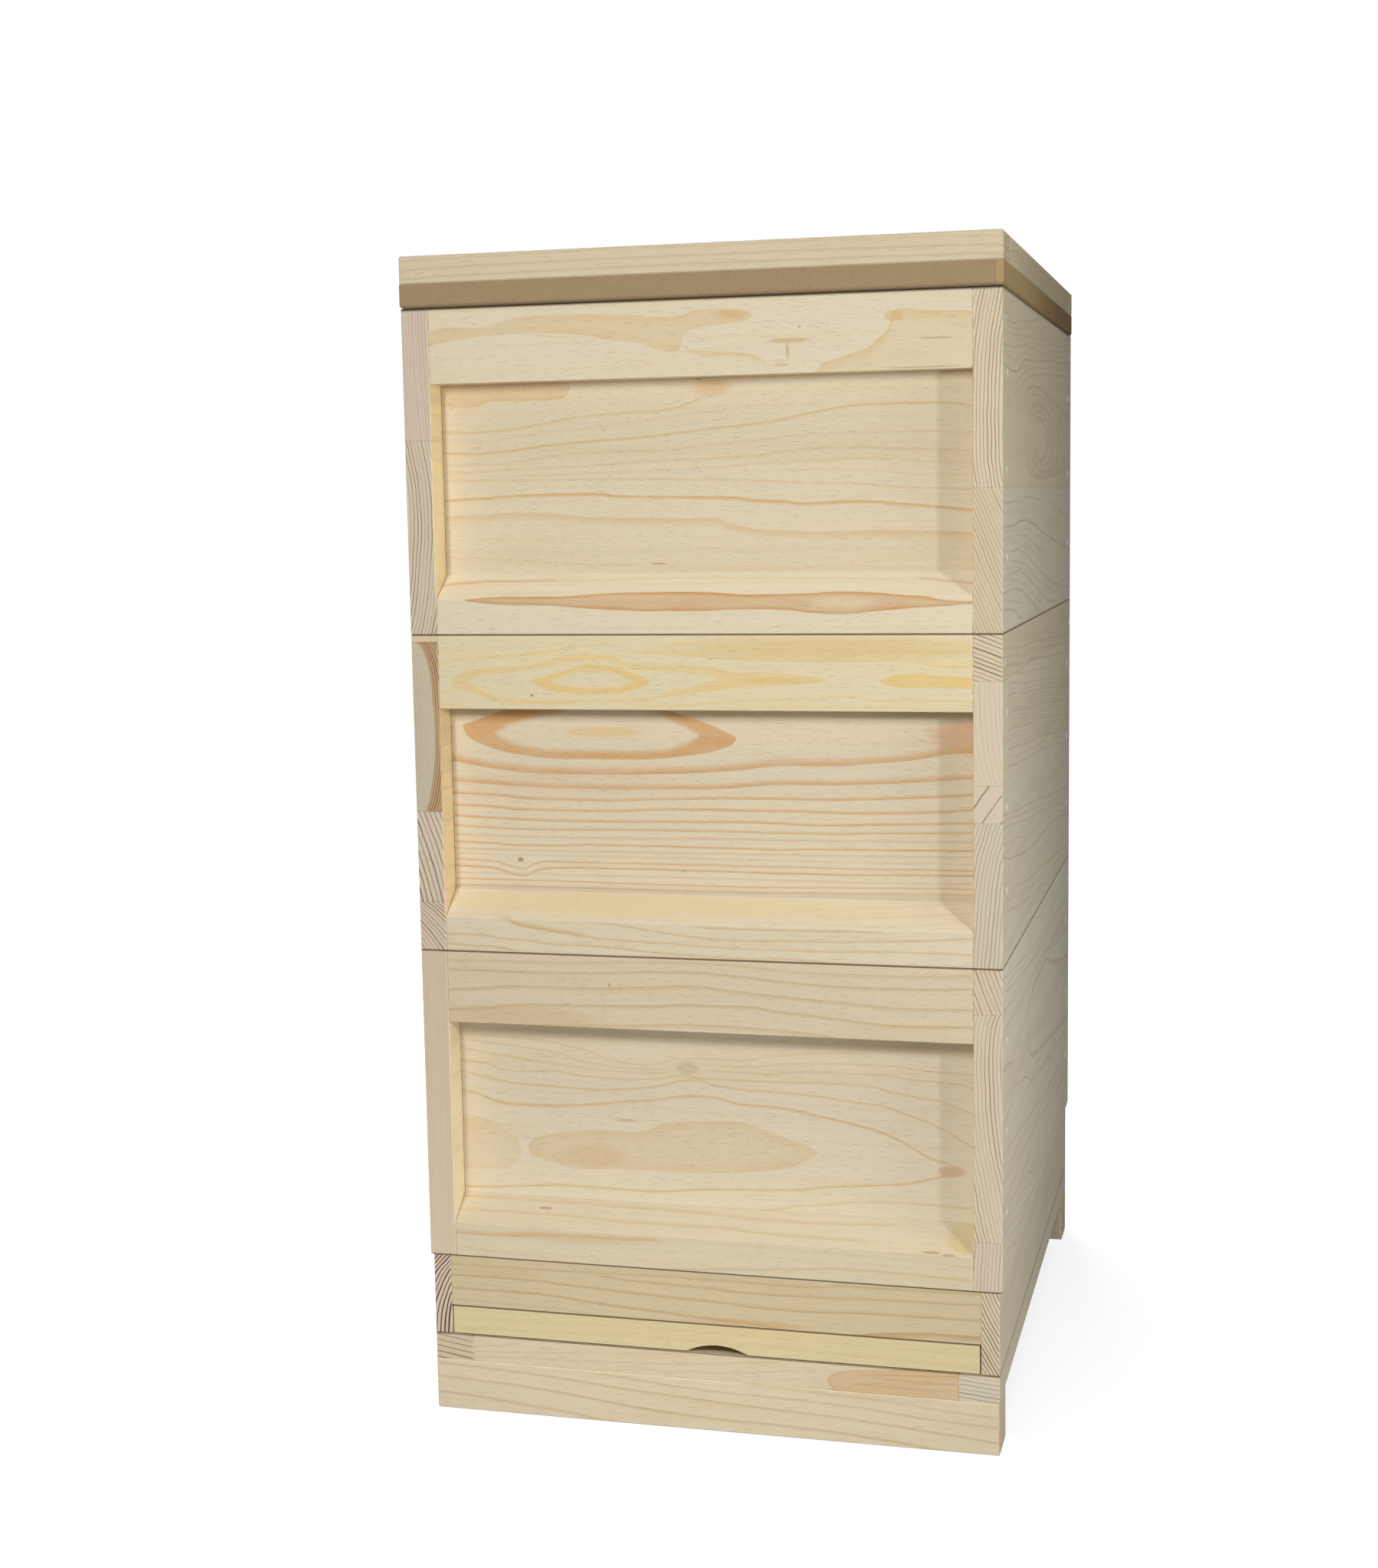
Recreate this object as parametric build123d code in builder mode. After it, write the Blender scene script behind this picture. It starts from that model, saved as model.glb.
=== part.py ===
import os

from build123d import *

os.makedirs("parts", exist_ok=True)

# Comb frame, the standard size that the boxes are built around
frame_count = 10
frame_l = 420.0
frame_h = 220.0
lug_l = 28.5
lug_h = 10.0
top_bar_w = 25.0
top_bar_h = 20.0
side_bar_t = 10.0
side_bar_w = 35.0
side_bar_foot_w = 25.0
side_bar_shoulder_h = 80.0
side_bar_taper_h = 20.0
bottom_bar_w = 22.0
bottom_bar_h = 10.0
foundation_t = 1.2
foundation_gap = 1.0
glue_gap = 0.2

# Room left for the bees and for handling the frames
frame_gap = 0.5
bee_gap = 8.0
lug_gap = 3.0
side_gap = 14.75
under_gap = 2.0
over_gap = 8.0

# Boards of a box
wall_t = 20.0
panel_t = 18.0
rail_t = 22.0
top_rail_h = 53.0
bottom_rail_h = 25.0
bottom_rail_rise = 17.5
edge_ease = 0.5

# Nails through the side walls into the end panels and the top rails
panel_nail_heights = (51.0, 110.0, 174.0)
rail_nail_drop = 20.0
nail_d = 2.2
nail_l = 50.0
nail_head_d = 4.5
nail_head_t = 1.2
nail_fit = 0.15

# Floor
floor_inset_x = 2.0
floor_inset_y = 1.0
foot_h = 38.0
foot_d = 35.0
bearer_w = 29.0
bearer_h = 20.0
side_board_t = 13.0
side_board_h = 61.0
floor_rail_t = 20.0

# Screws from under the feet into the bearers
screw_d = 4.5
screw_l = 45.0
screw_head_d = 9.0
screw_head_t = 4.0
screw_recess = 8.0
screw_fit = 0.15

# Entrance slot and the loose block in it
entrance_h = 22.0
block_d = 22.0
block_fit_above = 0.4
block_fit_below = 0.8
block_fit_end = 1.0
arch_w = 47.0
arch_h = 6.0
arch_shift = 6.0

# Slotted mesh that the bees walk on
mesh_t = 1.0
mesh_fit = 0.5
mesh_border = 18.0
slot_w = 3.2
slot_web = 1.8
slot_l = 80.0
slot_bridge = 8.0

# Drawer under the mesh
runner_w = 8.0
runner_h = 6.0
drawer_fit_side = 1.5
drawer_fit_below = 0.3
drawer_fit_above = 1.0
drawer_fit_front = 1.0
tray_sheet_t = 3.0
tray_rim_t = 6.0
drawer_front_t = 12.0
drawer_front_fit = 0.5
pull_r = 8.0

# Lid
lid_over = 0.5
lid_base_t = 17.0
lid_base_round = 3.0
lid_rim_t = 19.5
lid_rim_w = 37.0
lid_panel_t = 12.0
lid_ease = 1.0

# Sizes that follow for the frames and boxes
pitch = side_bar_w + frame_gap
top_bar_l = frame_l + 2 * lug_l
inside_w = frame_count * pitch - frame_gap + 2 * side_gap
inside_l = frame_l + 2 * bee_gap
hive_w = inside_w + 2 * wall_t
hive_l = inside_l + 2 * (panel_t + rail_t)
seat_h = under_gap + frame_h - lug_h
box_h = under_gap + frame_h + over_gap
panel_nail_y = hive_l / 2 - rail_t - panel_t / 2
rail_nail_y = hive_l / 2 - rail_t / 2

# Sizes that follow for the floor
floor_w = hive_w - 2 * floor_inset_x
floor_l = hive_l - 2 * floor_inset_y
floor_inside_w = floor_w - 2 * side_board_t
bearer_gap = floor_w - 2 * bearer_w
deck_z = foot_h + bearer_h
floor_h = deck_z + side_board_h
tie_back_y = -floor_l / 2 + foot_d
drawer_back_y = floor_l / 2 - drawer_front_t

# Heights of the boxes and of the lid
box_levels = {
    "lower": floor_h,
    "middle": floor_h + box_h,
    "upper": floor_h + 2 * box_h,
}
lid_z = floor_h + len(box_levels) * box_h


def board(x0, x1, y0, y1, z0, z1, ease=edge_ease):
    """A squared board between two corners, with every edge eased."""
    with BuildPart() as piece:
        with BuildSketch(Plane.XY.offset(z0)):
            with Locations(((x0 + x1) / 2, (y0 + y1) / 2)):
                Rectangle(abs(x1 - x0), abs(y1 - y0))
        extrude(amount=z1 - z0)
        chamfer(piece.edges(), length=ease)
    return piece.part


def save(label, part):
    """Label a finished piece and write its file."""
    part.label = label
    export_step(part, f"parts/{label}.step")


# Boxes: side walls, end walls and nails
def panel_nail_spots(z0, ends=(-1, 1)):
    """Places of the nails into the end panels, as lengthwise and upward distances."""
    return [(end * panel_nail_y, z0 + height) for end in ends for height in panel_nail_heights]


def rail_nail_spots(z0, ends=(-1, 1)):
    """Places of the nails into the top rails, as lengthwise and upward distances."""
    return [(end * rail_nail_y, z0 + box_h - rail_nail_drop) for end in ends]


def nail_spots(z0):
    """Places of all the nails on a side wall."""
    return panel_nail_spots(z0) + rail_nail_spots(z0)


def side_wall(side, z0):
    """A full-length side wall, bored for the nails."""
    outer = side * hive_w / 2
    with BuildPart() as wall:
        add(board(outer, outer - side * wall_t, -hive_l / 2, hive_l / 2, z0, z0 + box_h))
        with BuildSketch(Plane.YZ.offset(outer)):
            with Locations(*nail_spots(z0)):
                Circle(nail_head_d / 2 + nail_fit)
        extrude(amount=-side * nail_head_t, mode=Mode.SUBTRACT)
        with BuildSketch(Plane.YZ.offset(outer)):
            with Locations(*nail_spots(z0)):
                Circle(nail_d / 2 + nail_fit)
        extrude(amount=-side * wall_t, mode=Mode.SUBTRACT)
    return wall.part


def end_panel(end, z0):
    """The inset panel of an end wall, whose top edge carries the frame lugs."""
    outer = end * (hive_l / 2 - rail_t)
    half = inside_w / 2
    with BuildPart() as panel:
        add(board(-half, half, outer, outer - end * panel_t, z0, z0 + seat_h))
        for side in (-1, 1):
            with BuildSketch(Plane.YZ.offset(side * half)):
                with Locations(*panel_nail_spots(z0, [end])):
                    Circle(nail_d / 2 + nail_fit)
            extrude(amount=-side * (nail_l - wall_t + nail_fit), mode=Mode.SUBTRACT)
    return panel.part


def top_rail(end, z0):
    """The outer top rail, rebated inside so that the lugs clear it, which is also the hand grip."""
    outer = end * hive_l / 2
    half = inside_w / 2
    with BuildPart() as rail:
        add(board(-half, half, outer, outer - end * rail_t, z0 + box_h - top_rail_h, z0 + box_h))
        with BuildSketch(Plane.XY.offset(z0 + seat_h)):
            Rectangle(inside_w, top_bar_l + 2 * lug_gap)
        extrude(amount=box_h - seat_h, mode=Mode.SUBTRACT)
        for side in (-1, 1):
            with BuildSketch(Plane.YZ.offset(side * half)):
                with Locations(*rail_nail_spots(z0, [end])):
                    Circle(nail_d / 2 + nail_fit)
            extrude(amount=-side * (nail_l - wall_t + nail_fit), mode=Mode.SUBTRACT)
    return rail.part


def bottom_rail(end, z0):
    """The outer bottom rail, with a top that sheds water."""
    outer = end * hive_l / 2
    inner = outer - end * rail_t
    with BuildPart() as rail:
        with BuildSketch(Plane.YZ.offset(-inside_w / 2)):
            with BuildLine():
                Polyline(
                    (outer, z0),
                    (outer, z0 + bottom_rail_h),
                    (inner, z0 + bottom_rail_h + bottom_rail_rise),
                    (inner, z0),
                    close=True,
                )
            make_face()
        extrude(amount=inside_w)
        chamfer(rail.edges(), length=edge_ease)
    return rail.part


def box_nails(z0):
    """All the nails of one box, heads flush with the walls."""
    with BuildPart() as nails:
        for side in (-1, 1):
            outer = side * hive_w / 2
            with BuildSketch(Plane.YZ.offset(outer)):
                with Locations(*nail_spots(z0)):
                    Circle(nail_head_d / 2)
            extrude(amount=-side * nail_head_t)
            with BuildSketch(Plane.YZ.offset(outer)):
                with Locations(*nail_spots(z0)):
                    Circle(nail_d / 2)
            extrude(amount=-side * nail_l)
    return nails.part


# Comb frames
def top_bars(z0):
    """The top bars of one box, hung by their lugs."""
    with BuildPart() as bars:
        with BuildSketch(Plane.XY.offset(z0 + seat_h)):
            with GridLocations(pitch, 0, frame_count, 1):
                Rectangle(top_bar_w, top_bar_l)
        extrude(amount=lug_h)
        with BuildSketch(Plane.XY.offset(z0 + seat_h + lug_h - top_bar_h)):
            with GridLocations(pitch, 0, frame_count, 1):
                Rectangle(top_bar_w, frame_l - 2 * side_bar_t)
        extrude(amount=top_bar_h - lug_h)
    return bars.part


def side_bar_outline(low, high):
    """Corners of a side bar: a wide shoulder that spaces the frames, and a narrow foot."""
    shoulder = high - side_bar_shoulder_h
    wide = side_bar_w / 2
    narrow = side_bar_foot_w / 2
    right = [(wide, high), (wide, shoulder), (narrow, shoulder - side_bar_taper_h), (narrow, low)]
    return right + [(-x, z) for x, z in reversed(right)]


def frame_bars(z0):
    """The side bars and bottom bars of one box."""
    low = z0 + under_gap
    with BuildPart() as bars:
        for outer in (-frame_l / 2, frame_l / 2 - side_bar_t):
            with BuildSketch(Plane.XZ.offset(-outer)):
                with GridLocations(pitch, 0, frame_count, 1):
                    Polygon(*side_bar_outline(low, z0 + seat_h), align=None)
            extrude(amount=-side_bar_t)
        with BuildSketch(Plane.XY.offset(low)):
            with GridLocations(pitch, 0, frame_count, 1):
                Rectangle(bottom_bar_w, frame_l - 2 * (side_bar_t + glue_gap))
        extrude(amount=bottom_bar_h)
    return bars.part


def foundations(z0):
    """The wax sheets, each held between its top bar and its bottom bar."""
    low = z0 + under_gap + bottom_bar_h
    high = z0 + seat_h + lug_h - top_bar_h
    with BuildPart() as sheets:
        with BuildSketch(Plane.XY.offset(low)):
            with GridLocations(pitch, 0, frame_count, 1):
                Rectangle(foundation_t, frame_l - 2 * (side_bar_t + foundation_gap))
        extrude(amount=high - low)
    return sheets.part


for name, level in box_levels.items():
    save(f"{name}_left_wall", side_wall(-1, level))
    save(f"{name}_right_wall", side_wall(1, level))
    for end_name, end_sign in (("front", -1), ("rear", 1)):
        save(f"{name}_{end_name}_panel", end_panel(end_sign, level))
        save(f"{name}_{end_name}_top_rail", top_rail(end_sign, level))
        save(f"{name}_{end_name}_bottom_rail", bottom_rail(end_sign, level))
    save(f"{name}_nails", box_nails(level))
    save(f"{name}_frame_top_bars", top_bars(level))
    save(f"{name}_frame_side_and_bottom_bars", frame_bars(level))
    save(f"{name}_frame_foundations", foundations(level))


# Floor: feet, bearers and side boards
screw_x = floor_w / 2 - bearer_w / 2
screw_y = floor_l / 2 - foot_d / 2
screw_seat_z = screw_recess + screw_head_t


def foot(end):
    """A cross foot, counterbored from below for its screws."""
    outer = end * floor_l / 2
    with BuildPart() as piece:
        add(board(-floor_w / 2, floor_w / 2, outer, outer - end * foot_d, 0, foot_h))
        with BuildSketch():
            with Locations((-screw_x, end * screw_y), (screw_x, end * screw_y)):
                Circle(screw_head_d / 2 + screw_fit)
        extrude(amount=screw_seat_z, mode=Mode.SUBTRACT)
        with BuildSketch():
            with Locations((-screw_x, end * screw_y), (screw_x, end * screw_y)):
                Circle(screw_d / 2 + screw_fit)
        extrude(amount=foot_h, mode=Mode.SUBTRACT)
    return piece.part


def bearer(side):
    """A bearer from front to rear, whose inner half is the ledge under the mesh."""
    outer = side * floor_w / 2
    with BuildPart() as piece:
        add(board(outer, outer - side * bearer_w, -floor_l / 2, floor_l / 2, foot_h, deck_z))
        with BuildSketch(Plane.XY.offset(foot_h)):
            with Locations((side * screw_x, -screw_y), (side * screw_x, screw_y)):
                Circle(screw_d / 2 + screw_fit)
        extrude(amount=screw_recess + screw_l - foot_h + screw_fit, mode=Mode.SUBTRACT)
    return piece.part


def side_board(side):
    """A side board on its bearer."""
    outer = side * floor_w / 2
    return board(outer, outer - side * side_board_t, -floor_l / 2, floor_l / 2, deck_z, floor_h)


for side_name, side_sign in (("left", -1), ("right", 1)):
    save(f"floor_{side_name}_bearer", bearer(side_sign))
    save(f"floor_{side_name}_side_board", side_board(side_sign))
save("floor_front_foot", foot(-1))
save("floor_rear_foot", foot(1))

# Floor screws, with their heads sunk above the ground
with BuildPart() as screws:
    with BuildSketch(Plane.XY.offset(screw_recess)):
        with GridLocations(2 * screw_x, 2 * screw_y, 2, 2):
            Circle(screw_head_d / 2)
    extrude(amount=screw_head_t)
    with BuildSketch(Plane.XY.offset(screw_recess)):
        with GridLocations(2 * screw_x, 2 * screw_y, 2, 2):
            Circle(screw_d / 2)
    extrude(amount=screw_l)
save("floor_screws", screws.part)

# Tie between the bearers at the front, which carries the entrance block
save("floor_front_tie", board(-bearer_gap / 2, bearer_gap / 2, -floor_l / 2, tie_back_y, foot_h, deck_z))

# Rails between the side boards: the front one stands clear over the entrance slot
rail_half = floor_inside_w / 2
front_rail_y = -floor_l / 2 + floor_rail_t
rear_rail_y = floor_l / 2 - floor_rail_t
save("floor_front_rail", board(-rail_half, rail_half, -floor_l / 2, front_rail_y, deck_z + entrance_h, floor_h))
save("floor_rear_rail", board(-rail_half, rail_half, rear_rail_y, floor_l / 2, deck_z, floor_h))

# Entrance block with its bee arch
block_half = floor_inside_w / 2 - block_fit_end
block_z = deck_z + block_fit_below
block_top_z = deck_z + entrance_h - block_fit_above
with BuildPart() as entrance_block:
    add(board(-block_half, block_half, -floor_l / 2, -floor_l / 2 + block_d, block_z, block_top_z))
    with BuildSketch(Plane.XZ.offset(floor_l / 2)):
        with BuildLine():
            ThreePointArc(
                (arch_shift - arch_w / 2, block_z),
                (arch_shift, block_z + arch_h),
                (arch_shift + arch_w / 2, block_z),
            )
            Line((arch_shift + arch_w / 2, block_z), (arch_shift - arch_w / 2, block_z))
        make_face()
    extrude(amount=-block_d, mode=Mode.SUBTRACT)
save("entrance_block", entrance_block.part)

# Mesh on the ledges of the bearers
mesh_w = floor_inside_w - 2 * mesh_fit
mesh_front_y = -floor_l / 2 + block_d + mesh_fit
mesh_back_y = rear_rail_y - mesh_fit
mesh_l = mesh_back_y - mesh_front_y
slot_pitch_x = slot_w + slot_web
slot_pitch_y = slot_l + slot_bridge
slot_columns = int((mesh_w - 2 * mesh_border) / slot_pitch_x)
slot_rows = int((mesh_l - 2 * mesh_border) / slot_pitch_y)
with BuildPart() as mesh:
    with BuildSketch(Plane.XY.offset(deck_z)):
        with Locations((0, (mesh_front_y + mesh_back_y) / 2)):
            Rectangle(mesh_w, mesh_l)
            with GridLocations(slot_pitch_x, slot_pitch_y, slot_columns, slot_rows):
                Rectangle(slot_w, slot_l, mode=Mode.SUBTRACT)
    extrude(amount=mesh_t)
save("floor_mesh", mesh.part)

# Drawer runners along the bearers
with BuildPart() as runners:
    with BuildSketch(Plane.XY.offset(foot_h)):
        with Locations((0, (tie_back_y + drawer_back_y - drawer_front_fit) / 2)):
            with GridLocations(bearer_gap - runner_w, 0, 2, 1):
                Rectangle(runner_w, drawer_back_y - drawer_front_fit - tie_back_y)
    extrude(amount=runner_h)
save("floor_drawer_runners", runners.part)

# Drawer tray: a sheet with a low rim of four strips
tray_z = foot_h + runner_h + drawer_fit_below
tray_h = deck_z - drawer_fit_above - tray_z
tray_w = bearer_gap - 2 * drawer_fit_side
tray_front_y = tie_back_y + drawer_fit_front
tray_l = drawer_back_y - tray_front_y
tray_middle = (0, (tray_front_y + drawer_back_y) / 2)
with BuildPart() as sheet:
    with BuildSketch(Plane.XY.offset(tray_z)):
        with Locations(tray_middle):
            Rectangle(tray_w, tray_l)
    extrude(amount=tray_sheet_t)
save("drawer_sheet", sheet.part)

with BuildPart() as rim:
    with BuildSketch(Plane.XY.offset(tray_z + tray_sheet_t)):
        with Locations(tray_middle):
            with GridLocations(tray_w - tray_rim_t, 0, 2, 1):
                Rectangle(tray_rim_t, tray_l)
            with GridLocations(0, tray_l - tray_rim_t, 1, 2):
                Rectangle(tray_w - 2 * (tray_rim_t + glue_gap), tray_rim_t)
    extrude(amount=tray_h - tray_sheet_t)
save("drawer_rim_strips", rim.part)

# Drawer front at the rear of the floor, with a finger notch
front_half = bearer_gap / 2 - drawer_fit_side
front_z = foot_h + drawer_front_fit
front_top_z = deck_z - drawer_front_fit
with BuildPart() as drawer_front:
    add(board(-front_half, front_half, drawer_back_y, floor_l / 2, front_z, front_top_z))
    with BuildSketch(Plane.XZ.offset(-floor_l / 2)):
        with Locations((0, front_z)):
            Circle(pull_r)
    extrude(amount=drawer_front_t, mode=Mode.SUBTRACT)
save("drawer_front", drawer_front.part)

# Lid: a base board, a rim of four rails, and an insulated panel inside the rim
lid_w = hive_w + 2 * lid_over
lid_l = hive_l + 2 * lid_over
rim_z = lid_z + lid_base_t
lid_top_z = rim_z + lid_rim_t
rim_half_w = lid_w / 2 - lid_rim_w
rim_half_l = lid_l / 2 - lid_rim_w

with BuildPart() as lid_base:
    with BuildSketch(Plane.XY.offset(lid_z)):
        Rectangle(lid_w, lid_l)
    extrude(amount=lid_base_t)
    fillet(lid_base.faces().sort_by(Axis.Z)[0].edges(), radius=lid_base_round)
save("lid_base_board", lid_base.part)

for end_name, end_sign in (("front", -1), ("rear", 1)):
    outer_y = end_sign * lid_l / 2
    rail = board(-lid_w / 2, lid_w / 2, outer_y, end_sign * rim_half_l, rim_z, lid_top_z, lid_ease)
    save(f"lid_{end_name}_rail", rail)
for side_name, side_sign in (("left", -1), ("right", 1)):
    outer_x = side_sign * lid_w / 2
    rail = board(outer_x, side_sign * rim_half_w, -rim_half_l, rim_half_l, rim_z, lid_top_z, lid_ease)
    save(f"lid_{side_name}_rail", rail)

panel_z = lid_top_z - lid_panel_t
save("lid_top_panel", board(-rim_half_w, rim_half_w, -rim_half_l, rim_half_l, panel_z, lid_top_z))
with BuildPart() as insulation:
    with BuildSketch(Plane.XY.offset(rim_z)):
        Rectangle(2 * rim_half_w, 2 * rim_half_l)
    extrude(amount=panel_z - rim_z)
save("lid_insulation", insulation.part)
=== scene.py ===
import math
import random

import bpy
from mathutils import Matrix, Vector


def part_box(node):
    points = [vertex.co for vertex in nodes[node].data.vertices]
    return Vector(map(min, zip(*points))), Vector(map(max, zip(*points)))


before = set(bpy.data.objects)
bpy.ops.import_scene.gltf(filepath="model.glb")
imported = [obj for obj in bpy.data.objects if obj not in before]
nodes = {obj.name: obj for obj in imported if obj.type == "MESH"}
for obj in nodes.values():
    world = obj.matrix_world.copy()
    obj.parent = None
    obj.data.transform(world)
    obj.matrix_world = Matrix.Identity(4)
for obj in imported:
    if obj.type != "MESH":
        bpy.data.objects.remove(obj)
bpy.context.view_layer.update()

# Sizes in millimetres: half widths and lengths, and the heights at which pieces meet
HALF_WIDTH = 212.0
HALF_LENGTH = 258.0
HALF_CLEAR = 192.0
HALF_SLOT = 197.0
HALF_TIE = 181.0
HALF_FOOT = 210.0
LENGTH = 2.0 * HALF_LENGTH
FOOT_TOP = 38.0
BEARER_TOP = 58.0
BLOCK_TOP = 80.0
BOXES = {"lower": 119.0, "middle": 349.0, "upper": 579.0}
BOX_HEIGHT = 230.0
LID_LEVEL = 809.0
LID_TOP = 845.5
JOINT_LEVELS = (BEARER_TOP, BLOCK_TOP, *BOXES.values(), LID_LEVEL)
FRAME_PITCH = 36.0
SIDE_BAR_PLACE = 199.9


def srgb(red, green, blue):
    """A linear colour from everyday 0 to 255 values."""
    def linear(value):
        value /= 255.0
        return value / 12.92 if value <= 0.04045 else ((value + 0.055) / 1.055) ** 2.4
    return (linear(red), linear(green), linear(blue), 1.0)


WHITE = (1.0, 1.0, 1.0, 1.0)


# Shader values that plain arithmetic turns into nodes
class Value:
    def __init__(self, net, socket):
        self.net = net
        self.socket = socket

    def __add__(self, other):
        return self.net.math("ADD", self, other)

    def __sub__(self, other):
        return self.net.math("SUBTRACT", self, other)

    def __rsub__(self, other):
        return self.net.math("SUBTRACT", other, self)

    def __mul__(self, other):
        return self.net.math("MULTIPLY", self, other)

    def __truediv__(self, other):
        return self.net.math("DIVIDE", self, other)

    __radd__ = __add__
    __rmul__ = __mul__


class Net:
    """Adds nodes to one node tree."""

    def __init__(self, tree):
        self.tree = tree

    def put(self, socket, value):
        if isinstance(value, Value):
            self.tree.links.new(value.socket, socket)
        else:
            socket.default_value = value

    def node(self, kind, inputs=None, **settings):
        made = self.tree.nodes.new(kind)
        for name, value in settings.items():
            setattr(made, name, value)
        for key, value in (inputs or {}).items():
            self.put(made.inputs[key], value)
        return made

    def math(self, operation, a, b=0.0, c=0.0):
        made = self.node("ShaderNodeMath", {0: a, 1: b, 2: c}, operation=operation)
        return Value(self, made.outputs[0])

    def root(self, x):
        return self.math("SQRT", x)

    def floor(self, x):
        return self.math("FLOOR", x)

    def absolute(self, x):
        return self.math("ABSOLUTE", x)

    def least(self, a, b):
        return self.math("MINIMUM", a, b)

    def most(self, a, b):
        return self.math("MAXIMUM", a, b)

    def power(self, a, b):
        return self.math("POWER", a, b)

    def above(self, a, b):
        """1 where a is greater than b, else 0."""
        return self.math("GREATER_THAN", a, b)

    def smooth(self, low, high, x):
        """0 below low, 1 above high, and a smooth step between them."""
        made = self.node("ShaderNodeMapRange", {"Value": x, "From Min": low, "From Max": high},
                         interpolation_type="SMOOTHSTEP")
        return Value(self, made.outputs[0])

    def vector(self, x, y, z):
        return Value(self, self.node("ShaderNodeCombineXYZ", {0: x, 1: y, 2: z}).outputs[0])

    def split(self, point):
        made = self.node("ShaderNodeSeparateXYZ", {0: point})
        return [Value(self, out) for out in made.outputs]

    def noise(self, x, y, z, detail=1.0, roughness=0.5):
        """Noise from 0 to 1, with features about one unit across."""
        made = self.node("ShaderNodeTexNoise", {"Vector": self.vector(x, y, z), "Scale": 1.0,
                                                "Detail": detail, "Roughness": roughness})
        return Value(self, made.outputs[0])

    def chance(self, x):
        """A fixed random number from 0 to 1 for each value of x."""
        made = self.node("ShaderNodeTexWhiteNoise", {"W": x}, noise_dimensions="1D")
        return Value(self, made.outputs[0])

    def drawn(self, x, spots, handle=None):
        """A curve through spots in the unit square."""
        made = self.node("ShaderNodeFloatCurve", {"Value": x})
        line = made.mapping.curves[0]
        line.points[0].location = spots[0]
        line.points[1].location = spots[-1]
        for spot in spots[1:-1]:
            line.points.new(*spot)
        if handle:
            for point in line.points:
                point.handle_type = handle
        made.mapping.update()
        return Value(self, made.outputs[0])

    def curve(self, x, points):
        """A smooth curve through (x, y) points, flat beyond its ends."""
        low = min(y for _, y in points)
        high = max(y for _, y in points)
        start, end = points[0][0], points[-1][0]
        spots = [((px - start) / (end - start), (py - low) / (high - low)) for px, py in points]
        return self.drawn((x - start) / (end - start), spots) * (high - low) + low

    def trace(self, along, points, span):
        """A smooth line through (u, v) points; along runs from 0 to 1 over -span to span."""
        low = min(v for _, v in points)
        high = max(v for _, v in points)
        spots = [((u + span) / (2.0 * span), (v - low) / max(high - low, 0.001)) for u, v in points]
        if spots[0][0] > 0.001:
            spots.insert(0, (0.0, spots[0][1]))
        if spots[-1][0] < 0.999:
            spots.append((1.0, spots[-1][1]))
        return self.math("MULTIPLY_ADD", self.drawn(along, spots, "AUTO_CLAMPED"), high - low, low)

    def mix(self, factor, a, b, blend="MIX"):
        made = self.node("ShaderNodeMix", {0: factor, 6: a, 7: b}, data_type="RGBA", blend_type=blend)
        return Value(self, made.outputs[2])

    def tint(self, colour, factor):
        """A colour times a plain factor."""
        made = self.node("ShaderNodeVectorMath", {0: colour, "Scale": factor}, operation="SCALE")
        return Value(self, made.outputs[0])

    def position(self):
        """x, y and z of the piece at rest, in millimetres."""
        spot = self.node("ShaderNodeTexCoord").outputs["Object"]
        return [axis * 1000.0 for axis in self.split(Value(self, spot))]

    def facing(self):
        """How far the surface faces along x, y and z, without sign."""
        normal = self.node("ShaderNodeTexCoord").outputs["Normal"]
        return [self.absolute(axis) for axis in self.split(Value(self, normal))]

    def looked_at(self):
        """1 for rays that show a surface to the eye, directly, mirrored or through glass."""
        path = self.node("ShaderNodeLightPath")
        camera_ray, glossy_ray, clear_ray = [
            Value(self, path.outputs[f"Is {kind} Ray"]) for kind in ("Camera", "Glossy", "Transmission")]
        return self.most(self.most(camera_ray, glossy_ray), clear_ray)


def new_material(name):
    made = bpy.data.materials.new(name)
    made.use_nodes = True
    made.node_tree.nodes.clear()
    return made, Net(made.node_tree)


def finish_material(net, colour, roughness, height, depth, specular=0.12, metallic=0.0):
    """Puts a shader and its bump at the end of a material."""
    bump = net.node("ShaderNodeBump", {"Height": height, "Distance": depth, "Strength": 1.0})
    shader = net.node("ShaderNodeBsdfPrincipled", {
        "Base Color": colour, "Roughness": roughness, "Metallic": metallic, "Specular IOR Level": specular,
        "Normal": Value(net, bump.outputs[0])})
    out = net.node("ShaderNodeOutputMaterial")
    net.tree.links.new(shader.outputs[0], out.inputs[0])


def use(material, *names):
    """Gives CAD nodes one material."""
    for name in names:
        slots = nodes[name].data.materials
        slots.clear()
        slots.append(material)


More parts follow.
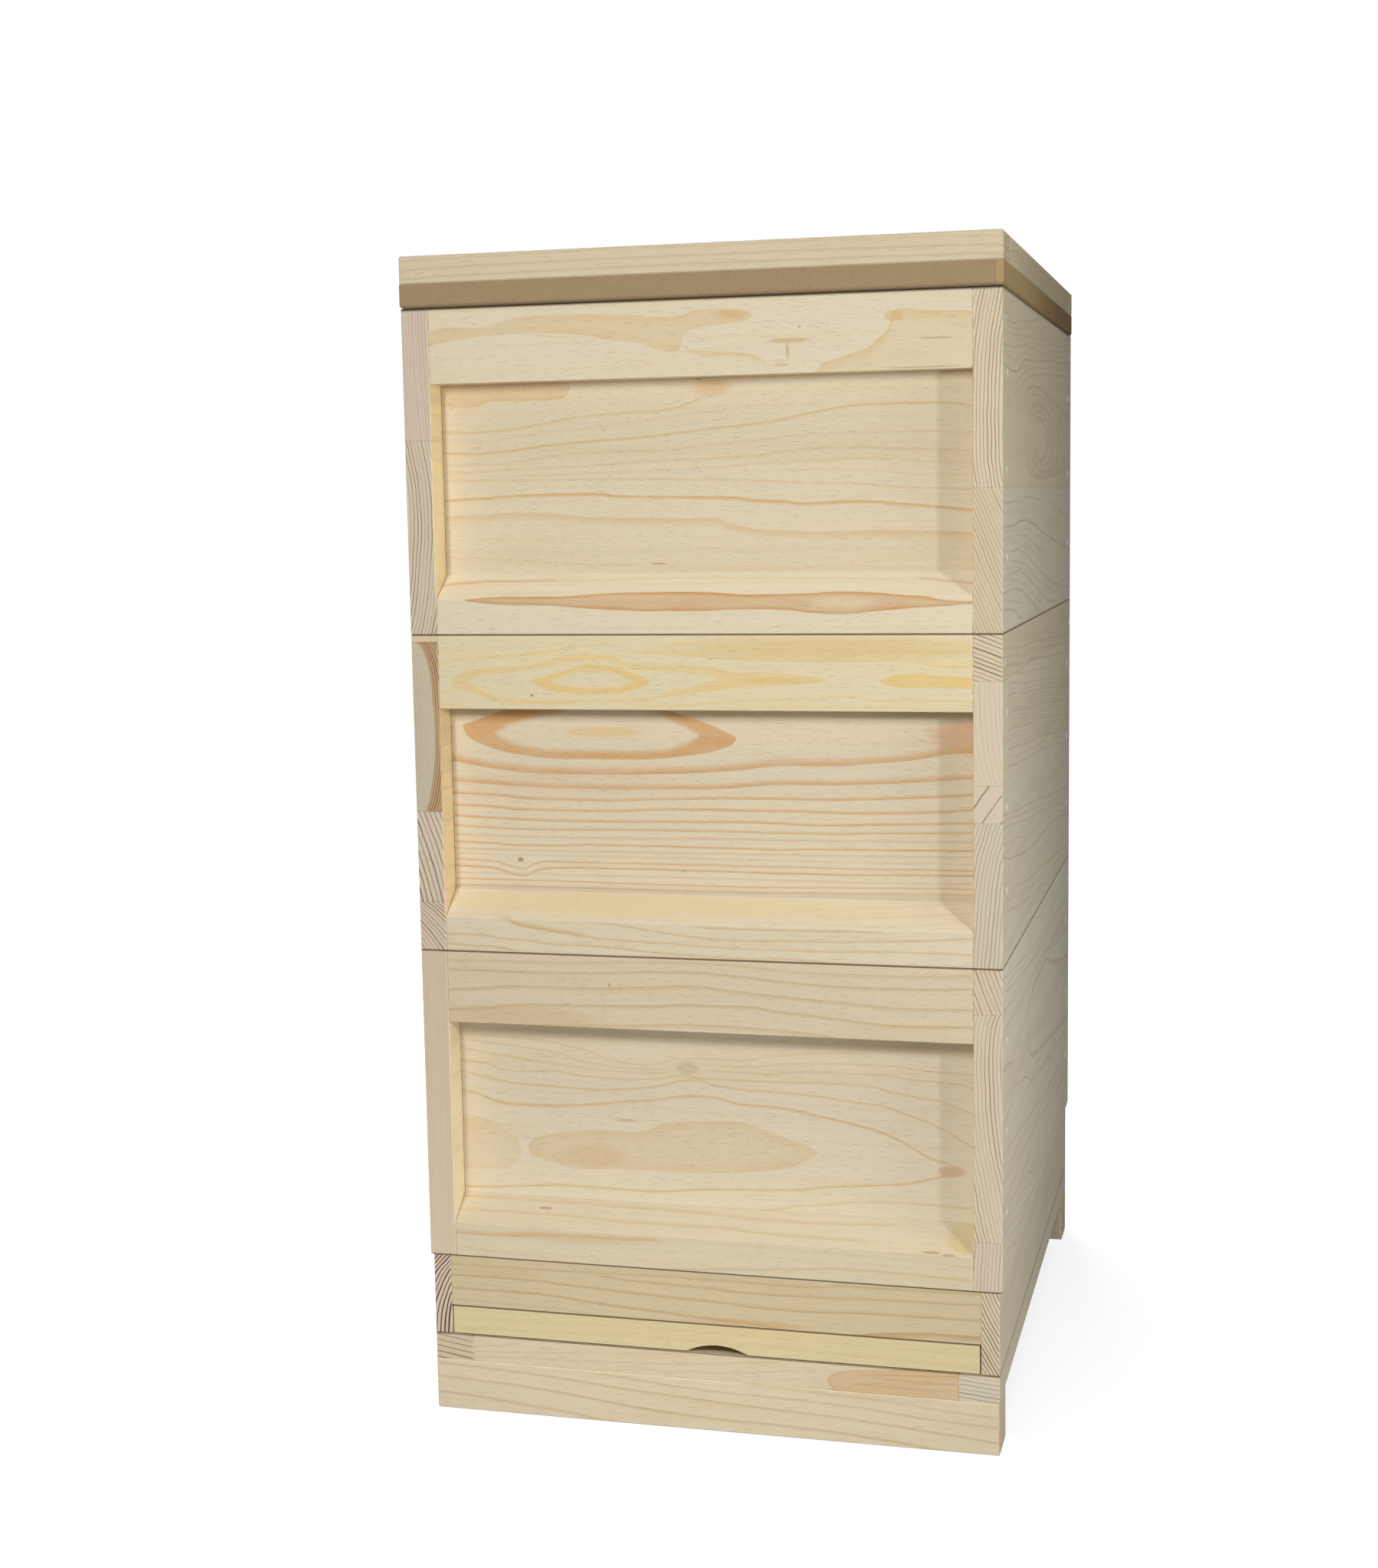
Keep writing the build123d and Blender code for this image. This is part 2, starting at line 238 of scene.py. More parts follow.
# Pine: yearly rings, slow changes of tone, fibres and resin flecks
def make_pine():
    group = bpy.data.node_groups.new("pine", "ShaderNodeTree")
    floats = ("Ring", "U", "V", "W", "End", "Edge", "Seed", "Contrast", "Band", "Figure")
    colours = ("Early", "Late")
    results = {"Color": "NodeSocketColor", "Roughness": "NodeSocketFloat", "Height": "NodeSocketFloat"}
    for name in floats:
        group.interface.new_socket(name, in_out="INPUT", socket_type="NodeSocketFloat")
    for name in colours:
        group.interface.new_socket(name, in_out="INPUT", socket_type="NodeSocketColor")
    for name, kind in results.items():
        group.interface.new_socket(name, in_out="OUTPUT", socket_type=kind)
    net = Net(group)
    given = net.node("NodeGroupInput")
    ring, u, v, w, end, edge, seed, contrast, band, figure, early, late = [
        Value(net, given.outputs[name]) for name in floats + colours]

    # Each yearly ring darkens slowly and ends sharply, by an amount and a width of its own
    year = net.floor(ring)
    phase = ring - year
    luck = net.chance(year + seed * 17.0)
    other_luck = net.chance(year * 1.7 + seed * 5.0 + 0.5)
    start = 1.0 - band * (other_luck * 0.7 + 0.65)
    rise = net.power(net.smooth(start, 0.98, phase), 1.3)
    summer = rise * (1.0 - net.smooth(0.985, 1.0, phase))
    drift = net.noise(u / 210.0, v / 34.0 + seed, w / 34.0, 2.0)
    strength = contrast * (luck * 0.6 + 0.45) * (drift * 0.9 + 0.55)
    strength = strength * (end * 0.35 + 1.0)
    streak = net.noise(u / 48.0 + seed, v / 9.0, w / 9.0, 2.0)
    figure = figure * (streak * 0.7 + 0.68)
    shown = net.least(net.most(summer * strength, figure), 1.0)

    # Long noises along the grain, from broad to fine
    tone = net.noise(u / 150.0 + seed * 3.0, v / 16.0, w / 16.0, 2.0)
    fibre = net.noise(u / 22.0, v / 0.8 + seed, w / 0.8, 3.0, 0.6)
    fine = net.noise(u / 9.0 + seed, v / 0.35, w / 0.35, 1.0)
    fleck = net.smooth(0.71, 0.80, net.noise(u / 7.0, v / 0.55, w / 0.55 + seed, 0.0))
    colour = net.mix(shown, early, late)
    colour = net.mix(net.smooth(0.45, 0.85, tone) * 0.22 * (1.0 - end), colour, late)
    light = 1.0 + (fibre - 0.5) * 0.09 + (fine - 0.5) * 0.05 + (tone - 0.5) * 0.06
    light = light - fleck * (end * 0.05 + 0.05)
    light = light * (1.0 - end * 0.075) + edge * 0.05
    made = {"Color": net.tint(colour, light),
            "Roughness": 0.74 + (fibre - 0.5) * 0.16 - shown * 0.07 + end * 0.10,
            "Height": fibre * 0.45 + fine * 0.2 + shown * 0.35 - fleck * 0.5}
    out = net.node("NodeGroupOutput")
    for name, value in made.items():
        net.put(out.inputs[name], value)
    return group


PINE = make_pine()
WOOD_BUMP = 0.00025


def pine_of(net, **given):
    """Colour, roughness and height of pine in a material."""
    pine = net.node("ShaderNodeGroup")
    pine.node_tree = PINE
    for name, value in given.items():
        net.put(pine.inputs[name], value)
    return [Value(net, pine.outputs[name]) for name in ("Color", "Roughness", "Height")]


# How far a face must lean along an axis to count as end grain, and as level
END_FACING = (0.6, 0.8)
LEVEL_FACING = (0.86, 0.97)

# Which way a board lies: its grain, the width of its face, and the depth under its face
LIES = {
    "front": lambda x, y, z: (x, z, y + HALF_LENGTH),
    "rear": lambda x, y, z: (0.0 - x, z, HALF_LENGTH - y),
    "left": lambda x, y, z: (0.0 - y, z, x + HALF_WIDTH),
    "right": lambda x, y, z: (y, z, HALF_WIDTH - x),
    "along": lambda x, y, z: (y, x, LID_TOP - z),
}
GRAIN_AXIS = {"front": 0, "rear": 0, "left": 1, "right": 1, "along": 1}


def paired(numbers):
    """Points from numbers that take turns as first and second coordinate."""
    return list(zip(numbers[::2], numbers[1::2]))


# Fields: the number of the yearly ring at a place in a board
def faint(net, u, v, w):
    """Level rings, nearly square to the face."""
    return v / 9.0 + w * 0.05


def fan(low, high):
    """One ring between two lines, and rings like it beyond them."""
    def field(net, u, v, w):
        bottom = net.curve(u, low)
        return (v - bottom) / (net.curve(u, high) - bottom)
    return field


def arch(centre, depth, ring):
    """Rings round a pith line: its place on the face, its depth, and the width of a ring."""
    def field(net, u, v, w):
        across = v - net.curve(u, centre)
        inward = w * -1.0 + net.curve(u, depth)
        return net.root(across * across + inward * inward) / ring
    return field


def bend(curve, spacing):
    """Rings through the depth of a board, each following a curve of (height, depth) points."""
    def field(net, u, v, w):
        uneven = (net.noise(v / 16.0, w / 7.0, u / 200.0, 1.0) - 0.5) * 1.4
        return (w + uneven - net.curve(v, curve)) / spacing
    return field


def figure_of(lines, ovals):
    """The listed lines and ovals of a face, with their flat numbers turned into points.

    lines: strength, band, and points; the band fades upwards from a crisp line, or downwards where it is
        negative.
    ovals: how dark the rim and the core are, the band between them, and the points of the bottom and of the
        top, with those of the core's own outline behind them where it has one.
    """
    return ([(strength, band, paired(points)) for strength, band, *points in lines],
            [(rim, core, band, *map(paired, edges)) for rim, core, band, *edges in ovals])


def laid(net, u, v, span, lines, ovals):
    """How dark a figure of listed lines and ovals is, from 0 to 1."""
    along = (u + span) / (2.0 * span)

    def level(points):
        return net.trace(along, points, span)

    def between(bottom, top):
        """Distance inside a shape with a lower and an upper edge; negative outside it."""
        ends = [(bottom[0], top[0], -4.0), (bottom[-1], top[-1], 4.0)]
        low_line, high_line = list(bottom), list(top)
        for (place, low_end), (_, high_end), step in ends:
            if abs(place) < span - 1.0 and abs(high_end - low_end) < 1.0:
                low_line.append((place + step, low_end + 3.0))
                high_line.append((place + step, high_end - 3.0))
        return net.least(v - level(sorted(low_line)), level(sorted(high_line)) - v)

    shades = []
    for strength, band, points in lines:
        gap = v - level(points) if band > 0 else level(points) - v
        shade = net.smooth(-0.5, 0.3, gap) * (1.0 - net.smooth(0.0, abs(band), gap)) * strength
        start, stop = points[0][0], points[-1][0]
        if start > -span + 1.0:
            shade = shade * net.smooth(start - 4.0, start + 14.0, u)
        if stop < span - 1.0:
            shade = shade * (1.0 - net.smooth(stop - 14.0, stop + 4.0, u))
        shades.append(shade)
    for rim, core, band, bottom, top, *inner in ovals:
        inside = between(bottom, top)
        deep = net.smooth(-1.5, band, between(*inner)) if inner else net.smooth(0.0, band, inside)
        shades.append(net.smooth(-0.4, 0.4, inside) * (deep * (core - rim) + rim))
    total = shades[0]
    for shade in shades[1:]:
        total = net.most(total, shade)
    return total


def edge_mask(net, place, node):
    """1 at the edges of a board, 0 from a millimetre away."""
    low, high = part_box(node)
    gaps = []
    for axis in range(3):
        middle = (low[axis] + high[axis]) * 500.0
        half = (high[axis] - low[axis]) * 500.0
        gaps.append(half - net.absolute(place[axis] - middle))
    a, b, c = gaps
    second = net.most(net.least(a, b), net.least(net.most(a, b), c))
    return 1.0 - net.smooth(0.3, 1.6, second)


def mark_mask(net, u, v, mark):
    """An uneven soft ellipse: middle, half lengths, and softness."""
    mu, mv, long, tall, soft = mark[:5]
    warp = (net.noise(u / 14.0 + mu, v / 5.0, 0.0, 2.0) - 0.5) * 0.8
    du = (u - mu) / long
    dv = (v - mv) / tall
    return 1.0 - net.smooth(1.0 - soft, 1.0 + soft * 0.3, du * du + dv * dv + warp)


# Dark lines where pieces meet: how far they reach, how dark they are, and their tone
SEAM_TONE = srgb(106, 78, 50)
BOX_SEAM = (1.1, 0.82, SEAM_TONE)
# Under the lid the line is wider and nearly black: a joint line and painted shadow beneath the lid's rounded
# lower edge
LID_SHADOW_LINE = (2.6, 1.0, srgb(44, 30, 20))
GLUE_LINE = 0.19


def dress_wood(node, lies, staves, seed, wave=(0.8, 90.0), marks=(), figure=None, sides=None, seams=(),
               butts=None):
    """Gives a CAD node its own piece of pine.

    staves: (lower edge, field, early, late, contrast, band, beyond) from the bottom up; one for a plain board.
        beyond is the early tone outside the first ring, or None.
    wave: how far the grain sways, and over what length.
    marks: (u, v, half length, half height, softness, colour, amount).
    figure: (span, lines, ovals), laid over the rings of the long faces.
    sides: (lower edge, early tone) of each stave of the outer face, its late tone, and the early tone of the
        inner face, lighter and warmer as painted bounce light, where they differ from the ends.
    seams: heights at which a board meets the one above or below it in a dark line; under the lid this line is
    also painted shadow.
    butts: half length of a board whose ends show as broken dark lines.
    """
    made, net = new_material("pine_" + node)
    place = net.position()
    u, v, w = LIES[lies](*place)
    sway, length = wave
    wobble = (net.noise(u / length + seed, v / 45.0, w / 60.0, 1.0) - 0.5) * (2.0 * sway)
    wobble = wobble + (net.noise(u / 26.0, v / 7.0 + seed, w / 9.0, 1.0) - 0.5) * 0.7
    bent = v + wobble
    end = net.smooth(*END_FACING, net.facing()[GRAIN_AXIS[lies]])

    def toned(field, early, late, contrast, band, beyond):
        """Ring value and tones of one stave."""
        ring = field(net, u, bent, w)
        if beyond is not None:
            outside = net.smooth(-0.3, 0.15, ring)
            early = net.mix(outside, early, beyond)
            contrast = (outside * 0.75 + 0.25) * contrast
        return ring, early, late, contrast, band

    ring, early, late, contrast, band = toned(*staves[0][1:])
    seeds = seed
    upright = 1.0 - net.smooth(*LEVEL_FACING, net.facing()[2])
    lines = []
    for level in seams:
        reach, amount, tone = LID_SHADOW_LINE if level == LID_LEVEL else BOX_SEAM
        near = 1.0 - net.smooth(0.3, reach, net.absolute(place[2] - level))
        lines.append((near * upright * amount, tone))
    if butts:
        broken = net.smooth(0.42, 0.58, net.noise(v / 5.0 + seed, u / 50.0, 0.0)) * 0.6 + 0.15
        near = 1.0 - net.smooth(0.2, 0.8, butts - net.absolute(u))
        lines.append((near * broken * (1.0 - end), SEAM_TONE))
    for level, *grain in staves[1:]:
        above = net.above(v, level)
        next_ring, next_early, next_late, next_contrast, next_band = toned(*grain)
        ring = ring + (next_ring - ring) * above
        early = net.mix(above, early, next_early)
        late = net.mix(above, late, next_late)
        contrast = above * (next_contrast - contrast) + contrast
        band = above * (next_band - band) + band
        seeds = above * 3.1 + seeds
        lines.append(((1.0 - net.smooth(0.1, 0.45, net.absolute(v - level))) * GLUE_LINE, SEAM_TONE))
    outer = 1.0
    if sides:
        outer_tones, side_late, inner_bounce_tone = sides
        outer = 1.0 - net.smooth(4.0, 8.0, w)
        outer_tone = outer_tones[0][1]
        for level, tone in outer_tones[1:]:
            outer_tone = net.mix(net.above(v, level), outer_tone, tone)
        # Inner faces take a lighter, warmer tone: painted bounce light
        early = net.mix(end, net.mix(outer, inner_bounce_tone, outer_tone), early)
        late = net.mix(end, side_late, late)
        contrast = (end * 0.8 + 0.2) * contrast
    shade = 0.0
    if figure:
        shade = laid(net, u, bent, *figure) * (1.0 - end) * (outer * 0.8 + 0.2)
        if sides:
            shade = shade * (net.noise(u / 34.0, v / 6.0 + seed, 0.0) * 1.5 + 0.2)
    colour, roughness, height = pine_of(
        net, Ring=ring, U=u, V=v, W=w, End=end, Edge=edge_mask(net, place, node), Seed=seeds,
        Contrast=contrast, Band=band, Early=early, Late=late, Figure=shade)
    for mark in marks:
        tone, amount = mark[5:]
        colour = net.mix(mark_mask(net, u, v, mark) * ((1.0 - end) * amount), colour, tone)
    for line, tone in lines:
        colour = net.mix(line, colour, tone)
        height = height - line
    finish_material(net, colour, roughness, height, WOOD_BUMP)
    use(made, node)


def seams_of(node):
    """The joint levels that a board's lower or upper edge lies on."""
    edges = [corner[2] * 1000.0 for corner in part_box(node)]
    return [level for level in JOINT_LEVELS if min(abs(level - edge) for edge in edges) < 1.0]


def lay(node, seed, early, late, lines, ovals=(), marks=(), span=HALF_CLEAR):
    """A front board with its figure laid from listed lines, over faint rings."""
    dress_wood(node, "front", [(0, faint, early, late, 0.10, 0.5, None)], seed, (0.5, 70.0), marks,
               (span, *figure_of(lines, ovals)), None, seams_of(node), span)


CREAM = srgb(219, 206, 178)
KNOT = srgb(168, 128, 90)

# Front boards: each line has its strength, its band, and then places and heights in turn

# Upper box, front
lay("upper_front_top_rail", 1.3, CREAM, srgb(206, 171, 106), [
    (0.42, -6, -8, 778, -4, 776, 0, 774, 20, 772, 35, 771, 45, 768, 52, 764, 58, 757),
    (0.25, 2, -120, 787, -100, 786, -80, 785),
    (0.18, 2, -60, 783, -40, 782.5, -20, 781),
    (0.16, 3, -192, 806, -150, 806, -100, 804, 0, 807, 60, 807, 192, 802),
], ovals=[
    (0.42, 0.3, 9,
     [-192, 783, -150, 788, -125, 789, -90, 788, -60, 783, -40, 780, -20, 774, -12, 773, -8, 777, -6, 785,
      0, 788, 15, 790, 35, 792, 43, 795],
     [-192, 791, -178, 795, -150, 794, -140, 796.5, -125, 800, -110, 801, -60, 800, -40, 798.5, -20, 797,
      0, 800, 10, 801, 25, 800.5, 37, 798.5, 43, 795]),
    (0.5, 0.22, 11,
     [84, 740, 192, 740],
     [84, 756, 90, 762, 100, 765, 110, 768, 120, 771, 127, 776, 132, 780, 136, 785, 138, 792, 142, 796.5,
      160, 795, 192, 794]),
], marks=[
    (139, 792, 7, 4, 0.7, srgb(208, 174, 116), 0.6), (28, 797, 14, 4, 0.9, srgb(206, 166, 110), 0.45),
    (67, 778, 17, 1.9, 0.7, srgb(201, 174, 128), 0.8), (66.5, 771, 1.5, 7, 0.9, srgb(196, 166, 124), 0.7),
    (62, 762, 6, 1.2, 0.8, srgb(200, 168, 122), 0.6), (168, 776.5, 14, 0.5, 0.6, KNOT, 0.6),
    (75, 787, 1.4, 0.8, 0.5, KNOT, 0.5), (160, 757.5, 28, 0.7, 0.6, KNOT, 0.45),
])
lay("upper_front_panel", 2.1, srgb(219, 205, 176), srgb(208, 171, 116), [
    (0.5, -3, -192, 724, -170, 723, -150, 724, -130, 726, -110, 729, -90, 732, -60, 734, -30, 735, -10, 739,
     0, 743, 8, 747),
    (0.22, -3, -192, 718, -160, 717, -130, 721, -100, 723, -60, 726, -20, 731, 40, 737, 60, 743, 78, 750),
    (0.68, -2.6, -192, 709, -170, 708, -150, 709, -110, 713, -80, 715, -40, 717, 0, 721, 50, 725.5, 75, 730,
     95, 733, 110, 735, 160, 735.5, 192, 732),
    (0.3, -3, -192, 700, -160, 700, -135, 702, -110, 705, -80, 707, -50, 707, 0, 710, 50, 714, 80, 716,
     160, 716.5, 192, 715),
    (0.38, -3, -192, 694, -150, 696, -80, 698, -40, 700, 40, 702.5, 60, 705, 100, 706.5, 130, 705.5, 160, 704,
     192, 702.5),
    (0.34, -2.5, -140, 692, -110, 692, -60, 693, 10, 695, 40, 697, 80, 698, 110, 699, 160, 696, 192, 695),
    (0.3, -2, 45, 691.5, 110, 691, 140, 688.5, 160, 687.5, 192, 687),
    (0.42, -2.5, -192, 689, -110, 688.5, -60, 688, 20, 686, 60, 684, 100, 682.5, 120, 681, 140, 679, 192, 677),
    (0.92, -3.4, -192, 675, -170, 676, -110, 678, -80, 678, -60, 676, 0, 674.5, 20, 674, 40, 671.5, 60, 670.5,
     70, 669, 110, 669.5, 140, 667.5, 160, 666, 192, 662.5),
    (0.46, -8, -192, 663, -160, 663.5, -135, 665, -85, 661.5, -60, 660.5, -10, 659.5, 5, 659.5, 15, 657,
     30, 653, 45, 650.5, 60, 650, 80, 648.5, 130, 649, 192, 647),
    (0.22, -7, -192, 634, -150, 633, -120, 631, -60, 628, 0, 626.5, 192, 625),
], ovals=[
    (0.52, 0.42, 4,
     [-192, 741, -170, 740, -160, 742, -150, 744, -120, 743.5, -105, 744, -98, 747, -95, 752],
     [-192, 764, -110, 763, -97, 757, -95, 752]),
], marks=[
    (8, 750, 16, 7, 1.0, srgb(206, 168, 120), 0.6), (-1, 756, 3, 2, 0.9, KNOT, 0.5),
    (-32, 627.8, 7, 0.6, 0.6, KNOT, 0.6),
])
lay("upper_front_bottom_rail", 0.4, srgb(222, 210, 181), srgb(196, 145, 88), [
    (0.5, 3, -192, 613, -170, 615, -130, 616, -100, 616),
    (0.22, 2, -110, 616, -60, 616.5, -30, 617.5, 40, 617, 80, 616.5, 150, 615.5),
    (0.45, 3, 145, 615.5, 170, 614, 192, 612),
], ovals=[
    (0.85, 0.5, 3,
     [-172, 604, -160, 602, -140, 600.5, -110, 600, -95, 599, -60, 596.5, -30, 595.5, 0, 595.5, 40, 596.5,
      60, 596, 80, 594, 100, 593, 120, 594.5, 140, 596, 175, 598, 190, 599],
     [-172, 604, -160, 605, -140, 606, -110, 606, -60, 608, 0, 608.5, 20, 607.5, 40, 606.5, 80, 607, 100, 608,
      120, 607.5, 140, 606, 160, 604.5, 190, 601]),
], marks=[
    (102, 601, 26, 4, 0.8, srgb(218, 200, 165), 0.75), (-20, 602, 60, 2.5, 0.9, srgb(211, 178, 132), 0.5),
])

# Middle box, front
lay("middle_front_top_rail", 3.7, srgb(222, 208, 173), srgb(224, 191, 120), [
    (0.5, 4, -192, 558, -170, 561, -150, 562.5, -125, 564.5, -105, 567, -85, 570, -60, 571, -50, 568, -40, 566,
     -10, 565, 20, 562, 60, 560.5, 150, 560, 165, 557, 192, 556),
    (0.25, 4, -192, 567, -160, 568, -110, 570, -80, 574),
    (0.28, 3, -30, 572, 40, 569, 100, 567.5, 192, 566),
    (0.25, 3, 60, 575, 120, 573, 192, 571),
    (0.45, -3, -60, 527, -40, 529, -10, 530.5, 20, 533, 60, 535, 90, 536, 105, 537, 120, 535, 130, 534,
     150, 535, 192, 534),
    (0.38, -3, -10, 527, 20, 528.5, 100, 529.5, 192, 529),
    (0.42, -4, -192, 531, -175, 529, -160, 527),
], ovals=[
    (0.72, 0.0, 3,
     [-124, 546, -115, 542, -105, 539, -75, 537.5, -60, 537.5, -50, 539, -40, 542, -34, 546],
     [-124, 546, -110, 550, -100, 553, -85, 557, -75, 558.5, -60, 557, -50, 553, -40, 550, -34, 546],
     [-108, 546, -100, 543, -85, 541.5, -65, 541, -55, 543, -46, 546],
     [-108, 546, -100, 550, -90, 553, -75, 554, -60, 552.5, -52, 549, -46, 546]),
    (0.5, 0.0, 3,
     [-182, 546, -180, 541, -170, 539, -160, 536, -150, 532, -135, 530, -100, 530, -80, 531.5, -40, 531.5,
      -25, 535, 0, 538, 40, 543, 80, 545, 92, 547],
     [-182, 546, -178, 550, -165, 554, -135, 557, -120, 558, -110, 561, -90, 564.5, -75, 565, -60, 564,
      -52, 559.5, -30, 558, 10, 557, 20, 554, 60, 552, 80, 550, 92, 547],
     [-170, 546, -160, 540, -150, 535, -130, 532.5, -40, 534, -20, 539, 0, 543, 16, 547],
     [-170, 546, -160, 551, -130, 554, -115, 556, -100, 560, -75, 562, -58, 559, -45, 555, -20, 554, 5, 552,
      16, 547]),
    (0.75, 0.7, 4,
     [128, 547, 135, 544, 150, 542.5, 192, 542.5],
     [128, 547, 135, 550, 150, 552, 170, 551, 192, 550]),
], marks=[
    (-122, 536, 1.3, 1.0, 0.5, KNOT, 0.85), (90, 569, 130, 9, 0.9, srgb(213, 186, 124), 0.6),
    (55, 547, 34, 3, 0.9, srgb(214, 184, 124), 0.5),
])
lay("middle_front_panel", 5.2, srgb(222, 208, 180), srgb(207, 161, 106), [
    (0.78, 8, -192, 486, -170, 482, -150, 479.5, -120, 477.5, -80, 477.5, -40, 478, 20, 481.5, 40, 484,
     60, 485.5, 80, 485.5, 130, 488.5, 145, 490, 160, 492.5, 175, 495, 192, 496),
    (0.72, 5.5, -192, 471, -170, 469.5, -140, 468, -110, 467, -80, 467, 0, 468, 30, 470, 60, 472, 90, 472,
     120, 473, 150, 475, 192, 478),
    (0.74, 3.4, -192, 461.5, -160, 460.5, -115, 458, -80, 458, -40, 459, 40, 461, 80, 461, 110, 461.5, 140, 463,
     192, 466),
    (0.76, 3.0, -192, 453, -160, 452, -130, 450, -100, 450, -20, 452, 60, 452.5, 110, 452, 150, 453, 192, 456),
    (0.76, 3.0, -192, 445, -170, 444, -140, 443, -110, 442.5, 0, 443.5, 40, 444, 80, 443, 120, 444, 192, 446.5),
    (0.68, 2.8, -192, 438, -160, 436.5, -130, 436, -40, 437, 80, 437, 120, 438, 192, 439.5),
    (0.46, 2.5, -192, 431, -100, 430.5, 0, 431.5, 80, 432, 192, 433),
    (0.86, 2.2, -192, 426, -160, 425, -140, 424, -110, 424.5, -80, 425.5, 40, 425, 80, 426, 192, 427),
    (0.46, 2, -192, 421, -140, 420.5, 0, 421, 120, 422, 192, 422.5),
    (0.32, 2, -192, 417, 0, 417, 192, 417.5),
    (0.66, 2.2, -192, 413, -165, 412, -155, 410, -145, 407.5, -140, 406.5, -135, 408, -128, 411, -115, 412.5,
     0, 412.5, 192, 413),
    (0.86, 2.2, -192, 408, -165, 407, -155, 405, -148, 403, -141, 401.5, -134, 403.5, -125, 406.5, -110, 408,
     -80, 408.5, 60, 408, 160, 409, 192, 409.5),
    (0.38, 2, -192, 403, 110, 403, 192, 404),
    (0.68, 2, -192, 398.5, -100, 398, 0, 397.5, 60, 398, 100, 399, 192, 400),
    (0.52, 2, -192, 393.5, 0, 393.5, 100, 395, 192, 396),
], ovals=[
    (0.8, 0.0, 5,
     [-183, 512, -180, 505, -170, 499, -155, 494, -135, 490.5, -110, 488.5, -60, 488.5, -40, 489, -20, 491,
      0, 494, 12, 497, 20, 501, 22, 505],
     [-183, 512, -172, 516, -160, 520, -150, 524, -135, 529, -110, 533, -75, 534, -45, 531, -30, 524.5,
      -10, 518.5, 5, 513, 14, 509, 22, 505],
     [-160, 507, -150, 500, -130, 494.5, -110, 492.5, -80, 492.5, -40, 493, -20, 497, -8, 502, -4, 507],
     [-160, 507, -150, 513, -135, 518, -108, 524, -75, 529, -40, 524, -22, 517, -10, 511, -4, 507]),
], marks=[
    (-75, 508, 32, 4, 0.6, srgb(220, 190, 136), 0.7), (194, 507, 40, 15, 1.0, srgb(208, 162, 122), 0.7),
    (-141, 414, 2.4, 1.8, 0.6, KNOT, 0.8),
])
lay("middle_front_bottom_rail", 6.6, srgb(221, 207, 178), srgb(201, 162, 106), [
    (0.72, 5, -152, 374, -140, 370, -120, 366.5, -100, 364, -80, 361.5),
    (0.5, 2.4, -100, 364, -80, 361.5, -60, 360.5, -20, 359, 0, 358, 40, 357, 80, 357, 140, 358.5, 192, 358),
    (0.48, 2.6, -85, 372, -60, 371, -40, 368.5, 0, 364, 20, 363, 80, 364, 140, 366, 192, 369.5),
    (0.6, 2.4, -10, 372, 20, 371, 80, 371.5, 130, 372),
    (0.48, 2.6, -192, 361, -170, 361, -150, 359, -130, 358, -110, 356, -80, 355.5, -30, 352, 30, 350, 60, 349),
    (0.55, 2.6, -192, 354, -170, 353, -150, 352, -130, 350),
    (0.5, 2.4, 40, 351, 80, 350, 110, 349),
    (0.24, 2, 70, 384, 120, 386, 192, 391),
    (0.22, 2, 80, 379, 130, 381, 192, 385),
    (0.22, 2, 100, 375.5, 150, 377, 192, 380),
], marks=[
    (-40, 384, 190, 8, 0.9, srgb(220, 198, 150), 0.55),
])

# Lower box, front
lay("lower_front_top_rail", 7.9, srgb(216, 199, 170), srgb(192, 160, 112), [
    (0.34, -4, -192, 343, -110, 344, -60, 346, 0, 347, 40, 345, 80, 343, 120, 342.5, 192, 345),
    (0.58, -3, -192, 336, -120, 336, -90, 336.5, -60, 338, 0, 340, 10, 339, 30, 338, 60, 335.5, 80, 334.5,
     120, 333.5, 160, 334, 192, 335.5),
    (0.52, -4, -192, 321, -160, 323.5, -140, 325.5, -100, 325.5, -60, 327, -30, 328.5, -10, 330, 10, 328.5,
     40, 326, 80, 323.5, 120, 321.5, 140, 320, 192, 321),
    (0.62, -3.5, -192, 306, -160, 309, -140, 311.5, -110, 312.5, -80, 313, -40, 314.5, 0, 316.5, 30, 316.5,
     50, 314.5, 100, 310.5, 120, 308.5, 140, 307.5, 192, 308.5),
    (0.48, -4, -130, 297, -100, 298.5, -60, 299.5, -35, 301, 0, 302, 40, 301, 70, 299.5, 90, 298, 110, 296),
], marks=[
    (-69, 328, 1.0, 1.6, 0.5, KNOT, 0.6), (-135, 302, 66, 10, 0.9, srgb(202, 174, 130), 0.5),
])
